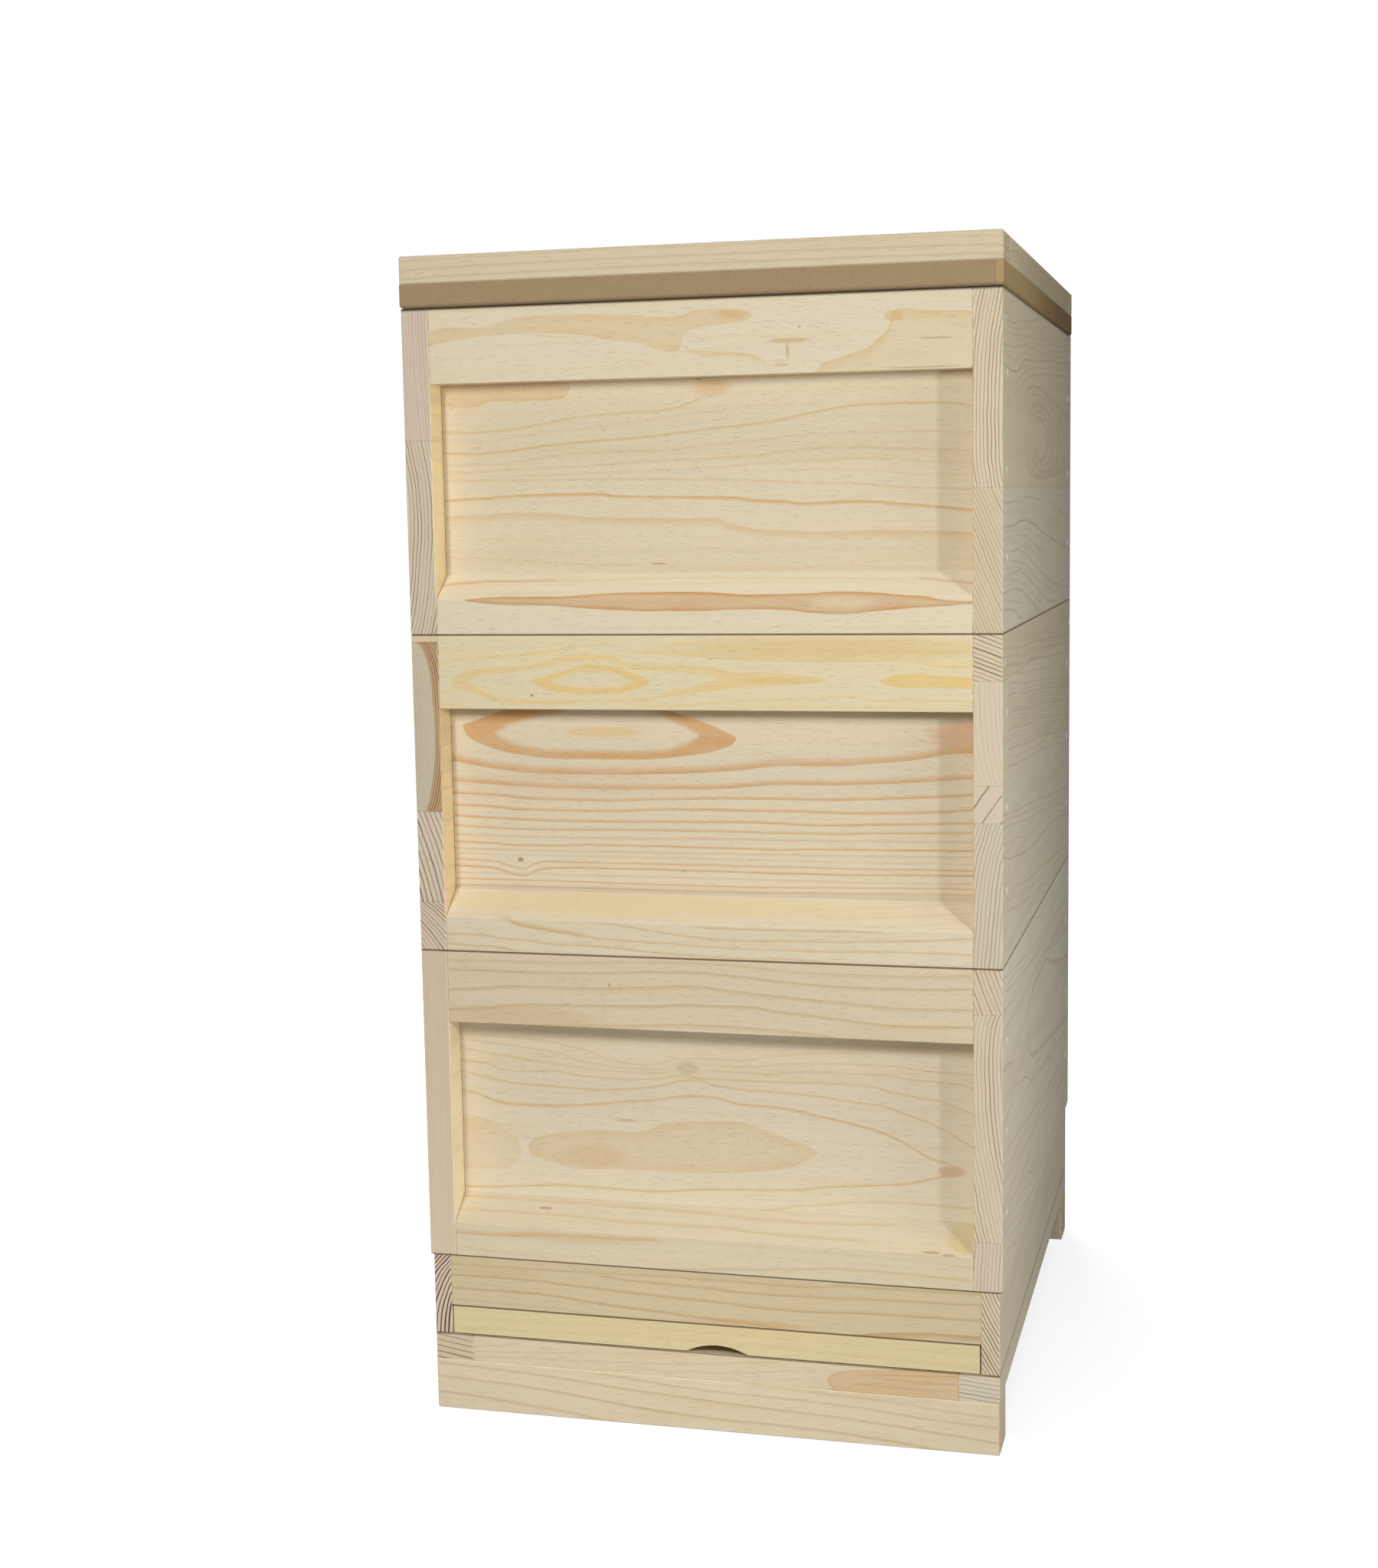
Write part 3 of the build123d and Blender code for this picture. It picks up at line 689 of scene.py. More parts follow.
lay("lower_front_panel", 8.3, srgb(219, 205, 178), srgb(202, 166, 102), [
    (0.34, -2.2, -192, 282, -150, 281.5, -125, 280, -110, 277, -95, 274.5, -85, 271, -70, 267, -55, 265.5,
     -40, 267, -30, 270, -15, 271.5, 20, 272, 40, 275, 60, 278, 120, 281),
    (0.36, -2.2, -192, 279, -170, 277, -140, 274, -115, 271, -100, 266, -85, 264, -60, 262, -32, 262.5),
    (0.36, -2.2, -6, 267, 20, 267, 40, 269, 60, 271, 120, 273, 150, 271, 192, 269),
    (0.4, -2.2, -192, 272, -160, 268, -140, 265, -120, 263, -100, 261, -80, 259.5, -30, 259.5),
    (0.42, -2.2, -8, 263, 40, 263, 60, 265, 90, 266, 120, 266, 140, 264.5, 175, 262, 192, 258),
    (0.44, -2.4, -192, 263, -170, 261, -160, 257, -145, 256, -120, 257, -100, 255, -70, 254, -45, 255, -20, 258,
     0, 257, 90, 258, 115, 257.5, 130, 254, 165, 249, 180, 244, 192, 240),
    (0.52, -2.6, -192, 255, -165, 249, -150, 247, -120, 246, -90, 245, -60, 247, -40, 250, -20, 255, -10, 256,
     0, 253, 10, 251.5, 70, 249, 110, 245, 125, 243.5, 140, 239, 165, 230, 192, 215),
    (0.62, -3.2, -192, 240, -180, 238, -165, 233, -150, 231, -110, 232, -75, 236, -40, 240, -25, 243, -5, 244,
     25, 239.5, 45, 239, 80, 234, 110, 228, 125, 224, 150, 212, 160, 207, 172, 204, 178, 202),
    (0.6, 3.0, -192, 164.5, -170, 165.5, -140, 168, -110, 170, -60, 169.5, 0, 174, 40, 176, 60, 177, 80, 180,
     120, 184, 140, 186, 160, 191, 178, 194),
    (0.38, 3.0, 30, 161, 60, 165, 80, 167, 120, 171.5, 150, 172, 192, 171),
], ovals=[
    (0.22, 0.15, 12,
     [-192, 179, -170, 180, -155, 183, -148, 189, -146, 196],
     [-192, 222, -175, 219, -165, 214, -155, 208, -148, 202, -146, 196]),
    (0.36, 0.22, 12,
     [-141, 200, -138, 192, -125, 189, -110, 185, -95, 184, -70, 186, -30, 186, 0, 187, 40, 191, 55, 193,
      65, 198, 72, 201, 78, 206],
     [-141, 200, -132, 207, -110, 211.5, -85, 214, -60, 214, -45, 218, -30, 223, -10, 225, 15, 226, 30, 223,
      45, 219, 60, 214, 70, 211, 78, 206]),
], marks=[
    (174, 198, 11, 4.5, 0.7, srgb(200, 164, 130), 0.7), (-65, 222.5, 9, 1.2, 0.8, KNOT, 0.4),
    (-18, 264, 9, 6, 0.6, srgb(204, 180, 150), 0.75), (-90, 195, 30, 10, 0.9, srgb(204, 170, 122), 0.4),
])
lay("lower_front_bottom_rail", 9.1, srgb(213, 199, 170), srgb(200, 167, 116), [
    (0.68, 5, -192, 136, -160, 136, -130, 138, -90, 139, -60, 139.5, -30, 140),
    (0.18, 3, -40, 140, 0, 140.5, 60, 140, 140, 138, 192, 136),
    (0.55, -3, -50, 119.5, -20, 121, 0, 122.5, 40, 125, 60, 126.5, 80, 128.5, 100, 130, 130, 129.5, 192, 127.5),
    (0.4, 3, -192, 151, -120, 151, -60, 150, 0, 150, 40, 148.5, 120, 148),
    (0.4, 3, -192, 158, -80, 158, 0, 157, 60, 155.5, 140, 157),
    (0.24, 3, -192, 126, -120, 121, -100, 119),
], marks=[
    (-126, 155, 6, 0.8, 0.6, KNOT, 0.6), (162, 145, 8, 0.8, 0.7, KNOT, 0.6),
    # The mark at 186, 153 is painted shadow: the right wall's shadow on the right end of the slope
    (174, 144, 5, 0.9, 0.7, KNOT, 0.55), (186, 153, 14, 9, 0.5, srgb(208, 182, 118), 0.4),
    (-100, 138, 60, 4, 0.9, srgb(205, 170, 120), 0.4),
])

# Floor, front
lay("floor_front_rail", 10.4, srgb(206, 188, 153), srgb(175, 140, 88), [
    (0.5, 3, -197, 103, -140, 103, -110, 101.5, -90, 100.5, -20, 97.5, 10, 96.5, 30, 95, 60, 94.5, 120, 96.5,
     197, 97),
    (0.55, 3, -197, 93, -140, 93, -110, 91.5, -90, 89.5, -70, 88, -40, 86.5, -10, 84.5, 40, 82, 60, 79.5),
    (0.46, 3, -90, 110, -60, 108, 0, 106.5, 40, 105, 80, 105.5, 120, 107, 197, 108.5),
    (0.36, 3, -197, 111, -120, 111.5, -60, 112.5, 0, 113, 60, 112.5, 100, 115, 197, 116.5),
    (0.66, -6, 90, 80.5, 120, 83, 150, 85.5, 170, 86.5, 197, 86.5),
    (0.2, 3, -197, 84, -120, 83, -60, 80),
], marks=[
    (30, 83.5, 50, 3, 0.9, srgb(198, 158, 108), 0.5), (-160, 108, 40, 4, 0.9, srgb(198, 172, 128), 0.4),
], span=HALF_SLOT)
lay("entrance_block", 11.2, srgb(216, 199, 157), srgb(203, 176, 124), [
    (0.3, 5, -197, 62, -120, 64, 0, 66, 90, 65, 197, 62),
    (0.28, 5, -197, 70, -120, 71, -60, 73, 0, 73, 197, 72),
    (0.2, 4, -197, 76, -100, 77, 197, 75),
], span=HALF_SLOT)
lay("floor_front_tie", 12.7, srgb(216, 200, 169), srgb(194, 152, 98), [
    (0.26, 2, -181, 49, -150, 53, -120, 57),
    (0.28, 2, -181, 45, -150, 47, -100, 50, -60, 53, 0, 56),
    (0.28, 2, -181, 41, -130, 43.5, -90, 45, -40, 47, 0, 50, 60, 55),
    (0.2, 2, -100, 39, -40, 42, 20, 45, 88, 50),
    (0.75, 3, 100, 51, 130, 52, 160, 54, 181, 55),
    (0.6, 3, 95, 44, 130, 46, 160, 48, 181, 49),
    (0.45, 3, 100, 39, 150, 41, 181, 42),
], ovals=[
    (0.5, 0.36, 6,
     [86, 46, 90, 41, 96, 36, 181, 34],
     [86, 46, 92, 51, 105, 54.5, 130, 57, 181, 62]),
], marks=[
    (150, 49.5, 34, 1.6, 0.7, srgb(204, 150, 108), 0.4), (140, 44, 40, 1.4, 0.7, srgb(200, 152, 106), 0.35),
    (150, 53.5, 30, 1.2, 0.7, srgb(206, 160, 112), 0.35),
], span=HALF_TIE)
lay("floor_front_foot", 13.5, srgb(219, 203, 173), srgb(190, 157, 108), [
    (0.55, -3, -210, 25, -180, 24, -140, 22, -100, 18.5, -60, 14, -20, 11, 20, 9.5, 60, 9, 100, 7, 140, 4,
     180, 1),
    (0.48, -3, -210, 35.5, -150, 33, -100, 30, -60, 26.5, -20, 24, 20, 22, 100, 18.5, 150, 15, 210, 10),
    (0.42, -3, -95, 36.5, -50, 34, -20, 31.5, 20, 30, 60, 29.5, 110, 27.5, 150, 24, 210, 21),
    (0.34, -3, 25, 38, 80, 36, 120, 34.5, 160, 31.5, 210, 28),
    (0.45, -3.5, -210, 13, -170, 11, -140, 8, -100, 4.5, -65, 1),
], span=HALF_FOOT)

# Lid rim, front
dress_wood("lid_front_rail", "front", [(
    0, fan(paired([-213, 836, -60, 838, 60, 838, 213, 835]), paired([-213, 842, 0, 844, 213, 841])),
    srgb(212, 195, 165), srgb(194, 172, 134), 0.6, 0.4, None)], 14.2)


# Side walls, glued from staves; the curve of each end grain takes turns of height and depth
def stave(level, curve, spacing, early, late, contrast=0.7, band=0.45, beyond=None):
    return (level, bend(paired(curve), spacing), early, late, contrast, band, beyond)


END_STAVES = {
    "upper_left": [
        stave(579, [579, -3, 600, 2, 630, 6, 660, 8.3, 680, 7.6, 700, 4.8, 717, 1.5], 2.7, srgb(218, 202, 177),
              srgb(138, 114, 92), 0.8),
        stave(717, [717, 6, 740, 4, 765, 2, 809, 1], 2.4, srgb(215, 197, 176), srgb(176, 152, 134), 0.4),
    ],
    "upper_right": [
        stave(579, [579, 0, 600, 9, 620, 18, 650, 30, 677, 42], 2.6, srgb(216, 199, 170), srgb(166, 136, 106),
              0.6),
        stave(677, [677, 7.4, 690, 9.5, 700, 10.3, 740, 10.3, 770, 8.9, 790, 6, 809, 2.3], 2.5,
              srgb(221, 205, 178), srgb(144, 116, 84), 0.7),
    ],
    "middle_left": [
        stave(349, [349, 30, 370, 13, 385, -4], 3.7, srgb(222, 205, 180), srgb(136, 108, 86), 0.9),
        stave(385, [385, 19, 418, 10, 451, -1.5], 3.9, srgb(224, 208, 183), srgb(126, 100, 80), 1.0),
        stave(451, [451, 7, 470, 12.6, 490, 15.4, 510, 16.1, 530, 15.4, 545, 14.5, 560, 11.9, 574, 3], 2.0,
              srgb(209, 197, 170), srgb(140, 98, 68), 1.0, 0.55, srgb(200, 166, 128)),
        stave(574, [574, 3, 579, 4], 2.0, srgb(222, 205, 170), srgb(196, 170, 130), 0.2),
    ],
    "middle_right": [
        stave(349, [349, 18.2, 380, 15.3, 410, 12.4, 440, 5.3, 450, 2], 2.8, srgb(216, 204, 181),
              srgb(156, 134, 112), 0.7),
        stave(450, [450, 28, 476, 9.6], 13.0, srgb(219, 204, 179), srgb(124, 100, 76), 0.9, 0.14),
        stave(476, [476, 4, 500, 10, 520, 12, 547, 13], 3.4, srgb(221, 206, 180), srgb(184, 162, 138), 0.35),
        stave(547, [547, 0, 579, 84], 8.2, srgb(221, 204, 176), srgb(122, 94, 70), 1.0, 0.38),
    ],
    "lower_left": [
        stave(119, [119, 4, 349, 6], 2.3, srgb(221, 202, 174), srgb(178, 152, 124), 0.22),
    ],
    "lower_right": [
        stave(119, [119, 11, 155, 9], 2.5, srgb(219, 201, 180), srgb(156, 132, 112), 0.75),
        stave(155, [155, -3, 170, 1, 200, 6.7, 230, 12.4, 260, 14.6, 290, 15.3, 317, 11], 2.8,
              srgb(221, 205, 179), srgb(148, 122, 94), 0.65),
        stave(317, [317, 7.8, 349, 19.6], 3.2, srgb(221, 204, 177), srgb(148, 122, 94), 0.65),
    ],
}

# The right sides, with points that take turns of distance from the front and height
RIGHT_FIGURES = {
    "upper": ([
        (0.35, -4, 0, 788, 60, 790, 100, 793, 150, 797, 200, 801, 300, 808),
        (0.3, -4, 40, 782, 100, 784, 150, 786, 240, 790, 320, 796, 516, 806),
        (0.36, -4, 0, 772, 70, 774, 150, 779, 260, 781, 330, 786, 516, 796),
        (0.52, -4, 0, 759, 60, 757, 90, 759, 115, 763, 140, 769, 200, 771, 300, 777, 516, 786),
        (0.38, -4, 60, 742, 100, 748, 130, 752, 170, 758, 250, 764, 400, 770, 516, 774),
        (0.42, 4, 0, 667, 60, 666, 120, 667, 150, 669, 250, 667),
        (0.55, 4, 0, 650, 50, 650, 120, 653, 180, 651, 240, 645, 340, 636, 516, 622),
        (0.3, 4, 0, 642, 80, 643, 140, 641, 200, 636, 300, 626),
        (0.42, 4, 40, 633, 100, 632, 140, 628, 200, 620, 260, 610, 400, 596, 516, 588),
        (0.45, 4, 40, 617, 110, 618, 130, 614, 200, 604, 260, 594, 380, 583),
        (0.45, 4, 0, 605, 60, 606, 100, 604, 140, 599, 200, 590, 270, 580),
        (0.5, 4, 0, 595, 60, 592, 90, 588, 130, 582),
        (0.3, 4, 300, 664, 400, 658, 516, 648),
    ], [
        (0.52, 0.0, 5,
         [205, 714, 212, 704, 225, 700, 250, 697, 280, 700, 300, 706, 312, 714],
         [205, 714, 212, 726, 225, 730, 250, 731, 280, 728, 300, 722, 312, 714]),
        (0.42, 0.0, 5,
         [168, 716, 175, 704, 190, 697, 220, 692, 260, 688, 340, 690, 380, 697, 420, 716],
         [168, 716, 175, 730, 190, 737, 210, 740, 250, 741, 300, 738, 350, 732, 400, 722, 420, 716]),
        (0.42, 0.0, 5,
         [128, 716, 135, 703, 150, 694, 200, 685, 250, 683, 340, 686, 516, 694],
         [128, 716, 132, 730, 140, 742, 160, 750, 200, 753, 260, 753, 330, 748, 516, 740]),
        (0.36, 0.0, 4,
         [187, 715, 194, 704, 208, 698, 235, 694, 270, 694, 320, 698, 346, 705, 366, 715],
         [187, 715, 194, 728, 208, 733, 230, 735, 250, 736, 290, 733, 325, 727, 350, 721, 366, 715]),
        (0.34, 0.0, 4,
         [148, 716, 155, 703, 170, 695, 210, 688, 255, 685, 340, 688, 450, 700, 468, 716],
         [148, 716, 155, 735, 168, 743, 205, 747, 260, 747, 330, 743, 440, 727, 468, 716]),
    ]),
    "middle": ([
        (0.4, 4, 0, 568, 100, 563, 200, 560, 300, 556, 516, 548),
        (0.42, 4, 0, 556, 100, 551, 200, 547, 300, 542, 516, 532),
    ] + [
        (0.26 + 0.1 * (count % 2), 3, 30, level, 140, level - 7, 260, level - 14, 516, level - 34)
        for count, level in enumerate((541, 534, 528, 522, 516, 510, 503, 496))
    ] + [
        (0.32, 4, 0, 486, 100, 480, 250, 472, 516, 452),
        (0.34, 4, 0, 455, 100, 446, 200, 438, 516, 410),
        (0.3, 4, 0, 446, 70, 440, 140, 432, 240, 424, 516, 398),
        (0.46, 4, 0, 426, 100, 412, 150, 408, 220, 404, 300, 402, 400, 398, 516, 385),
        (0.36, 4, 0, 402, 60, 395, 150, 385, 250, 378, 350, 371, 516, 360),
        (0.3, 4, 0, 387, 60, 380, 150, 370, 250, 363, 400, 353),
    ], []),
    "lower": ([
        (0.34, 4, 0, 341, 100, 332, 200, 325, 400, 316, 516, 308),
        (0.4, 4, 0, 331, 60, 325, 100, 322, 160, 318, 260, 311, 330, 309),
        (0.32, 4, 0, 304, 60, 302, 120, 300, 180, 297),
        (0.55, -4, 270, 303, 350, 297, 400, 291, 450, 288, 516, 285),
        (0.4, -4, 80, 246, 120, 241, 150, 236, 200, 222, 260, 214, 400, 200, 516, 188),
        (0.32, -4, 0, 218, 60, 212, 120, 206, 240, 192, 360, 180, 516, 166),
        (0.36, -4, 0, 198, 60, 192, 120, 186, 240, 176, 360, 165, 516, 150),
        (0.32, -4, 0, 178, 100, 166, 150, 160, 200, 150, 330, 138, 516, 122),
        (0.32, -4, 0, 160, 70, 150, 130, 142, 220, 130, 320, 121),
        (0.3, -4, 0, 146, 60, 136, 120, 127),
    ], [
        (0.46, 0.0, 6,
         [158, 272, 170, 258, 182, 246, 205, 238, 250, 231, 300, 225, 400, 212, 516, 200],
         [158, 272, 165, 285, 190, 290, 230, 296, 290, 296, 350, 285, 420, 272, 516, 258]),
        (0.42, 0.0, 6,
         [0, 236, 40, 238, 62, 244, 74, 254],
         [0, 279, 40, 275, 62, 268, 74, 254]),
    ]),
}
FINE_BAND = 2.6
CLOSE_LINES = (5.0, 24.0)
SHORTEST_FILL = 80.0
FILL_STEPS = 8


def from_front(side, lines, ovals):
    """Turns distances from the front into places along the wall."""
    flip = 1.0 if side == "right" else -1.0

    def moved(points):
        return sorted((flip * (y - HALF_LENGTH), z) for y, z in points)
    return ([(strength, band, moved(points)) for strength, band, points in lines],
            [(rim, core, band, *map(moved, edges)) for rim, core, band, *edges in ovals])


def filled_in(lines):
    """Adds a fainter line halfway between two lines that are close enough."""
    def height(points, place):
        for (a, low), (b, high) in zip(points, points[1:]):
            if a <= place <= b:
                return low + (high - low) * (place - a) / (b - a)

    made = [(strength, math.copysign(FINE_BAND, band), points) for strength, band, points in lines]
    ordered = sorted(made, key=lambda line: sum(z for _, z in line[2]) / len(line[2]))
    for (one, band, lower), (two, _, upper) in zip(ordered, ordered[1:]):
        start, stop = max(lower[0][0], upper[0][0]), min(lower[-1][0], upper[-1][0])
        if stop - start < SHORTEST_FILL:
            continue
        places = [start + (stop - start) * step / FILL_STEPS for step in range(FILL_STEPS + 1)]
        heights = [(height(lower, y), height(upper, y)) for y in places]
        gap = sum(high - low for low, high in heights) / len(heights)
        if CLOSE_LINES[0] < gap < CLOSE_LINES[1]:
            made.append((min(one, two) * 0.75, band, [
                (y, (low + high) / 2.0 + math.sin(y / 19.0 + one * 40.0))
                for y, (low, high) in zip(places, heights)]))
    return made


def drawn_lines(chance, low, high, falls):
    """Wavy lines from seeded chance, up a wall between two heights; falls is how far they drop to the rear."""
    made = []
    level = low + chance.uniform(4.0, 10.0)
    while level < high + falls:
        sway = chance.uniform(-6.0, 6.0)
        made.append((chance.uniform(0.25, 0.55), chance.choice((-3, 3)), [
            (y, level - falls * y / LENGTH + sway * math.sin(y / 160.0) + chance.uniform(-1.5, 1.5))
            for y in (0, 90, 190, 300, 400, LENGTH)]))
        level += chance.uniform(6.0, 15.0)
    return made


# Filled nail holes near both ends of each wall: height in the box, distance from the end
NAIL_SPOTS = ((51.0, 26.0), (110.0, 24.0), (175.0, 27.0), (210.0, 12.0))
FILLER = srgb(242, 236, 216)
SIDE_PALE = srgb(211, 201, 175)
SIDE_DARK = srgb(158, 136, 104)
SIDE_TONES = {
    "upper_right": [(579, srgb(210, 202, 177)), (677, srgb(211, 198, 168))],
    "middle_right": [(349, srgb(208, 199, 174)), (476, srgb(208, 198, 172)), (547, srgb(205, 192, 163))],
    "lower_right": [(119, srgb(212, 203, 179)), (317, srgb(214, 206, 182))],
}
# Inner faces of the walls: a pine tone lifted lighter and warmer as painted bounce light, as seen in the
# recesses
INNER_BOUNCE_TONES = {"lower": srgb(240, 224, 188), "middle": srgb(236, 214, 168), "upper": srgb(244, 224, 178)}

chance = random.Random(5)
for box, base in BOXES.items():
    top = base + BOX_HEIGHT
    spots = []
    for rise, inset in NAIL_SPOTS:
        for place in (HALF_LENGTH - inset, inset - HALF_LENGTH):
            spots.append((place, base + rise, 5.0, 2.8, 0.6, FILLER, 0.9))
            spots.append((place, base + rise + 3.0, 3.0, 0.5, 0.7, KNOT, 0.5))
    for side in ("left", "right"):
        wall = f"{box}_{side}"
        if side == "right":
            lines, ovals = figure_of(*RIGHT_FIGURES[box])
            lines = filled_in(lines)
        else:
            lines, ovals = drawn_lines(chance, base, top, chance.uniform(-12.0, 24.0)), []
        dress_wood(wall + "_wall", side, END_STAVES[wall], 20.0 + base * 0.013 + len(side), (1.6, 60.0), spots,
                   (HALF_LENGTH, *from_front(side, lines, ovals)),
                   (SIDE_TONES.get(wall, [(base, SIDE_PALE)]), SIDE_DARK, INNER_BOUNCE_TONES[box]), (base, top))

# Floor sides
FLOOR_SIDE = ([(FOOT_TOP, SIDE_PALE)], SIDE_DARK, INNER_BOUNCE_TONES["lower"])
FLOOR_STAVES = {
    "floor_left_side_board": ("left", 31.0, stave(
        58, [58, 0, 70, 0.8, 80, 2.8, 90, 6, 100, 10.5, 106, 14, 112, 19, 119, 25.5], 3.1, srgb(220, 201, 176),
        srgb(88, 58, 52), 1.3, 0.62)),
    "floor_right_side_board": ("right", 32.0, stave(
        58, [58, 0, 80, 13, 100, 24, 119, 33], 2.8, srgb(221, 204, 176), srgb(120, 94, 66), 1.2)),
    "floor_left_bearer": ("left", 33.0, stave(
        38, [38, 120, 48, 60, 58, 0], 26.0, srgb(214, 196, 166), srgb(140, 116, 88), 0.8, 0.3)),
    "floor_right_bearer": ("right", 34.0, stave(
        38, [38, 0, 58, 190], 30.0, srgb(218, 206, 181), srgb(130, 114, 96), 1.0, 0.3)),
}
for node, (lies, seed, grain) in FLOOR_STAVES.items():
    levels = (BEARER_TOP,) if node.endswith("bearer") else (BEARER_TOP, BOXES["lower"])
    dress_wood(node, lies, [grain], seed, sides=FLOOR_SIDE, seams=levels)


# Boards with a figure from seeded chance: rear ends, lid, drawer and floor parts
BOARD_STEPS = 6


def plain_board(node, lies, chance, contrast=0.7, marks=()):
    """A board with rings round a pith line of its own."""
    corners = [LIES[lies](*[value * 1000.0 for value in corner]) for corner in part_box(node)]
    ends, span = [sorted(pair) for pair in list(zip(*corners))[:2]]
    shares = [step / BOARD_STEPS for step in range(BOARD_STEPS + 1)]
    steps = [ends[0] + (ends[1] - ends[0]) * share for share in shares]
    middle = chance.uniform(span[0] - 20.0, span[1] + 20.0)
    centre = [(u, middle + chance.uniform(-7.0, 7.0)) for u in steps]
    base = chance.uniform(18.0, 45.0)
    taper = chance.choice((-1.0, 1.0)) * chance.uniform(10.0, 24.0)
    depth = [(u, base + taper * (share - 0.5) + chance.uniform(-2.0, 2.0)) for share, u in zip(shares, steps)]
    early = srgb(*[tone + chance.uniform(-3.0, 3.0) for tone in (218, 203, 172)])
    late = srgb(*[tone + chance.uniform(-5.0, 5.0) for tone in (205, 170, 122)])
    rings = arch(centre, depth, chance.uniform(5.0, 9.0))
    band = chance.uniform(0.35, 0.5)
    dress_wood(node, lies, [(0, rings, early, late, contrast, band, None)], chance.uniform(40.0, 90.0),
               marks=marks, seams=seams_of(node))


# Painted shade: the lid's right rail turns darker and greyer towards the rear, as that side falls into shade
LID_RIGHT_PAINTED_SHADE = [(120, 836, 330, 90, 1.0, srgb(182, 166, 134), 0.95)]
chance = random.Random(11)
for name in BOXES:
    for part in ("top_rail", "panel", "bottom_rail"):
        plain_board(f"{name}_rear_{part}", "rear", chance)
for node, lies in (("floor_rear_foot", "rear"), ("floor_rear_rail", "rear"), ("drawer_front", "rear"),
                   ("lid_rear_rail", "rear"), ("lid_left_rail", "left"), ("lid_right_rail", "right"),
                   ("lid_top_panel", "along"), ("floor_drawer_runners", "along")):
    plain_board(node, lies, chance, 0.6, LID_RIGHT_PAINTED_SHADE if node == "lid_right_rail" else ())


# Comb frames: every bar has a figure of its own
def dress_bars(node):
    made, net = new_material("bars_" + node)
    x, y, z = net.position()
    bar = net.floor(x / FRAME_PITCH + 0.5)
    luck = net.chance(bar + 0.3)
    upright = 0.0 if node.endswith("top_bars") else net.above(net.absolute(y), SIDE_BAR_PLACE)
    u = y + (z - y) * upright
    w = z + (y - z) * upright
    seed = bar * 2.3 + upright * 7.0
    across = x - bar * FRAME_PITCH + (luck - 0.5) * 60.0
    inward = w * 0.9 + luck * 70.0
    sway = (net.noise(u / 80.0, seed, 0.0) - 0.5) * 1.4
    ring = net.root(across * across + inward * inward) / 3.4 + sway
    faces = net.facing()
    end = net.smooth(*END_FACING, faces[1] + (faces[2] - faces[1]) * upright)
    looks = pine_of(net, Ring=ring, U=u, V=x, W=w, End=end, Edge=0.0, Seed=seed, Contrast=0.6, Band=0.45,
                    Early=srgb(217, 200, 168), Late=srgb(199, 163, 115))
    finish_material(net, *looks, WOOD_BUMP)
    use(made, node)


for name in BOXES:
    dress_bars(f"{name}_frame_top_bars")
    dress_bars(f"{name}_frame_side_and_bottom_bars")

# Pressed fibre, wax, steel and tray
RIGHT_FACE = 208.0
# Painted light and shade for the right face of the lid's base board: lighter near the front, darker and browner
# to the rear
PAINTED_LIGHT_FRONT = (1.21, 1.21, 0.98, 1.0)
PAINTED_SHADE_REAR = (0.52, 0.44, 0.32, 1.0)


def dress_fibre(node, pale, dark, grain, painted_shade=False):
    """Wood fibre; with painted shade a board is darker along its lower edge, where it rounds under, and its
    right side is lighter near the front and darker and browner to the rear, where that side falls into shade.
    """
    made, net = new_material("fibre_" + node)
    x, y, z = net.position()
    soft = net.noise(x / 26.0, y / 26.0, z / 9.0, 2.0)
    chips = net.noise(x / (2.6 * grain), y / (2.6 * grain), z / (1.1 * grain), 3.0, 0.6)
    hair = net.noise(x / 0.7, y / 0.7, z / 0.35, 2.0)
    speck = net.smooth(0.70, 0.80, net.noise(x / 1.4, y / 1.4, z / 0.9, 0.0))
    colour = net.mix(chips * 0.5 + soft * 0.3 + hair * 0.2, dark, pale)
    colour = net.tint(colour, 1.0 - speck * 0.18)
    if painted_shade:
        upright = 1.0 - net.smooth(0.9, 0.98, net.facing()[2])
        # Painted shade along the lower edge, where the board rounds under
        low_edge_shade = (1.0 - net.smooth(0.0, 3.5, z - LID_LEVEL)) * upright
        colour = net.tint(colour, 1.0 - low_edge_shade * 0.3)
        # Painted light and shade on the right face: lighter at the front, darker and browner to the rear
        right_side_shade = net.mix(net.smooth(-150.0, 170.0, y), PAINTED_LIGHT_FRONT, PAINTED_SHADE_REAR)
        colour = net.mix(net.above(x, RIGHT_FACE), colour, right_side_shade, "MULTIPLY")
    height = chips * 0.5 + hair * 0.4 - speck * 0.2
    finish_material(net, colour, 0.78 + hair * 0.16, height, 0.0003, 0.1)
    use(made, node)


dress_fibre("lid_base_board", srgb(167, 145, 112), srgb(150, 126, 94), 1.0, True)
dress_fibre("lid_insulation", srgb(178, 152, 114), srgb(140, 112, 78), 2.0)

CELL = 5.4
CELL_ROW = CELL * math.sqrt(3.0)


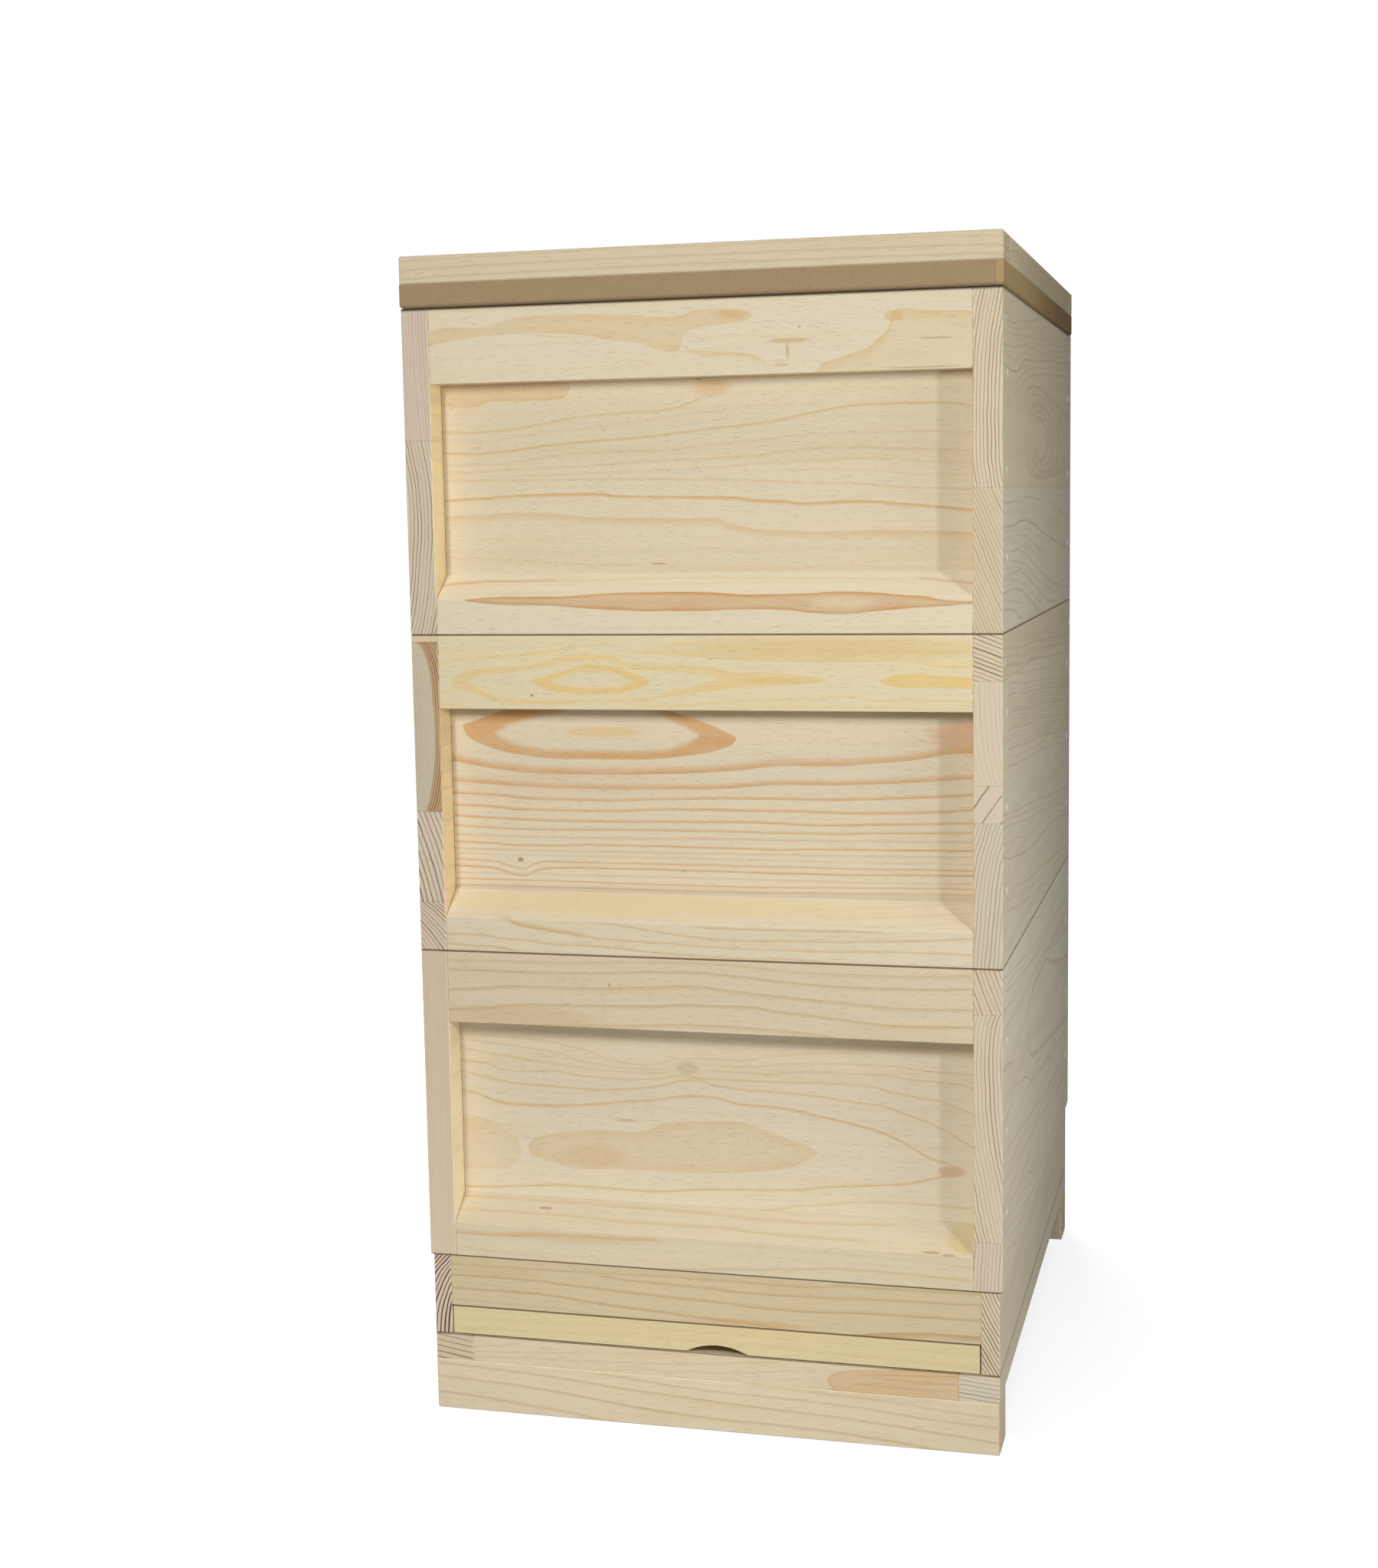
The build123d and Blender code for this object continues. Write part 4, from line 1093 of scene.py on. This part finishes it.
def dress_wax():
    """Beeswax sheets pressed with a comb of six-sided cells."""
    made, net = new_material("beeswax")
    x, y, z = net.position()

    def near(py, pz):
        """Distance to the middle of the cell on one of two grids."""
        a = py / CELL - net.floor(py / CELL) - 0.5
        b = pz / CELL_ROW - net.floor(pz / CELL_ROW) - 0.5
        a = net.absolute(a * CELL)
        b = net.absolute(b * CELL_ROW)
        return net.most(a, a * 0.5 + b * (math.sqrt(3.0) / 2.0))

    wall = net.least(near(y, z), near(y + CELL / 2.0, z + CELL_ROW / 2.0))
    ridge = net.smooth(CELL * 0.36, CELL * 0.5, wall)
    cloud = net.noise(x / 30.0, y / 30.0, z / 30.0, 3.0)
    colour = net.mix(cloud, srgb(214, 168, 84), srgb(232, 196, 122))
    colour = net.mix(ridge * 0.5, colour, srgb(240, 214, 150))
    finish_material(net, colour, 0.38 + cloud * 0.15, ridge + cloud * 0.1, 0.0005, 0.4)
    use(made, *[f"{name}_frame_foundations" for name in BOXES])


dress_wax()


def dress_steel(names, title, tone, rough, scale):
    """Steel with brush marks across y."""
    made, net = new_material(title)
    x, y, z = net.position()
    brush = net.noise(x / scale, y / (scale * 12.0), z / scale, 3.0)
    cloud = net.noise(x / 18.0, y / 18.0, z / 18.0, 2.0)
    colour = net.mix(brush * 0.6 + cloud * 0.4, srgb(*[level - 26 for level in tone]), srgb(*tone))
    finish_material(net, colour, rough + brush * 0.15, brush, 0.00004, 0.5, 1.0)
    use(made, *names)


dress_steel([f"{name}_nails" for name in BOXES] + ["floor_screws"], "bright_wire", (176, 172, 164), 0.34, 0.5)
dress_steel(["floor_mesh"], "stainless_mesh", (196, 197, 198), 0.28, 0.4)


def dress_tray():
    """A pale smooth sheet with a slight orange peel."""
    made, net = new_material("tray_sheet")
    x, y, z = net.position()
    cloud = net.noise(x / 60.0, y / 60.0, z / 60.0, 3.0)
    peel = net.noise(x / 1.6, y / 1.6, z / 1.6, 2.0)
    colour = net.mix(cloud, srgb(222, 220, 212), srgb(236, 234, 227))
    finish_material(net, colour, 0.42 + cloud * 0.12, peel, 0.00012, 0.4)
    use(made, "drawer_sheet", "drawer_rim_strips")


dress_tray()

# Camera for a picture of 1796 by 2044 pixels, its long side 36 mm on the sensor
scene = bpy.context.scene
camera = bpy.data.objects.new("camera", bpy.data.cameras.new("camera"))
scene.collection.objects.link(camera)
camera.data.sensor_width = 36.0
camera.data.lens = 51.87
CAMERA_PLACE = (0.38777, -1.78114, 0.67154)
yaw, pitch, roll = [math.radians(angle) for angle in (14.5494, 7.1479, -0.9756)]
upward = Matrix.Rotation(math.pi / 2.0 - pitch, 4, "X")
turn = Matrix.Rotation(yaw, 4, "Z") @ upward @ Matrix.Rotation(roll, 4, "Z")
camera.matrix_world = Matrix.Translation(CAMERA_PLACE) @ turn
scene.camera = camera


# Light: two tall lamps and a low strip at the front, three lamps at the right, two overhead, and fill for the
# left and the rear
def lamp(name, place, aim, size, power, tall=None):
    data = bpy.data.lights.new(name, "AREA")
    data.shape = "ELLIPSE"
    data.size = size
    data.size_y = tall or size
    data.energy = power
    made = bpy.data.objects.new(name, data)
    made.location = place
    made.rotation_euler = (Vector(aim) - Vector(place)).to_track_quat("-Z", "Y").to_euler()
    made.visible_camera = False
    scene.collection.objects.link(made)


HIVE_MIDDLE = (0.0, -0.2, 0.42)
lamp("key", (-0.34, -1.19, 0.91), HIVE_MIDDLE, 0.14, 5.2, 0.34)
lamp("key_right", (0.30, -1.19, 0.84), (0.10, -0.2, 0.40), 0.14, 2.85, 0.34)
lamp("low_front", (-0.08, -0.60, 0.03), (-0.08, -0.258, 0.03), 0.9, 0.8, 0.05)
lamp("right", (1.05, -0.95, 0.75), HIVE_MIDDLE, 0.07, 3.3)
lamp("right_near", (0.70, -0.43, 0.52), (0.2, -0.20, 0.48), 0.20, 0.92, 0.9)
lamp("right_low", (0.85, -0.42, 0.12), (0.2, -0.20, 0.10), 0.20, 1.1)
lamp("overhead", (0.0, -0.75, 2.9), HIVE_MIDDLE, 0.6, 8.3)
lamp("overhead_right", (1.1, -0.95, 2.5), HIVE_MIDDLE, 0.12, 4.6)
lamp("left_fill", (-1.6, 0.6, 1.4), (-0.2, 0.1, 0.5), 1.2, 22.0)
lamp("rear_fill", (-0.6, 2.2, 1.8), (-0.1, 0.26, 0.5), 1.2, 36.0)

# Room: white to the eye, and dim as a light
AMBIENT = 0.035
world = bpy.data.worlds.new("room")
scene.world = world
world.use_nodes = True
world.node_tree.nodes.clear()
room = Net(world.node_tree)
brightness = room.looked_at() * (1.0 - AMBIENT) + AMBIENT
sky = room.node("ShaderNodeBackground", {"Color": WHITE, "Strength": brightness})
world_out = room.node("ShaderNodeOutputWorld")
room.tree.links.new(sky.outputs[0], world_out.inputs[0])

# Floor: pale, lifted to white for the eye, with the hive's shadow left on it
FLOOR_REACH = 12.0
FLOOR_GAP = 0.0003
floor_mesh = bpy.data.meshes.new("studio_floor")
corners = [(x * FLOOR_REACH, y * FLOOR_REACH, 0.0) for x, y in ((-1, -1), (1, -1), (1, 1), (-1, 1))]
floor_mesh.from_pydata(corners, [], [(0, 1, 2, 3)])
floor = bpy.data.objects.new("studio_floor", floor_mesh)
floor.location.z = -FLOOR_GAP
scene.collection.objects.link(floor)
floor_material, net = new_material("studio_floor")
looked_at = net.looked_at()
x, y, z = [axis * 0.001 for axis in net.position()]
# Painted shade: the glow is weaker within a metre of the hive, so the floor round it shows darker and its
# shadow stays visible
glow_level = net.smooth(0.30, 0.95, net.root(x * x + y * y)) * 0.20 + 0.80
bounce = looked_at * 0.20 + 0.15
dull = net.node("ShaderNodeBsdfDiffuse", {"Color": net.vector(bounce, bounce, bounce)})
glow = net.node("ShaderNodeEmission", {"Color": WHITE, "Strength": looked_at * glow_level})
both = net.node("ShaderNodeAddShader")
net.tree.links.new(dull.outputs[0], both.inputs[0])
net.tree.links.new(glow.outputs[0], both.inputs[1])
floor_out = net.node("ShaderNodeOutputMaterial")
net.tree.links.new(both.outputs[0], floor_out.inputs[0])
floor_mesh.materials.append(floor_material)

scene.view_settings.view_transform = "Standard"
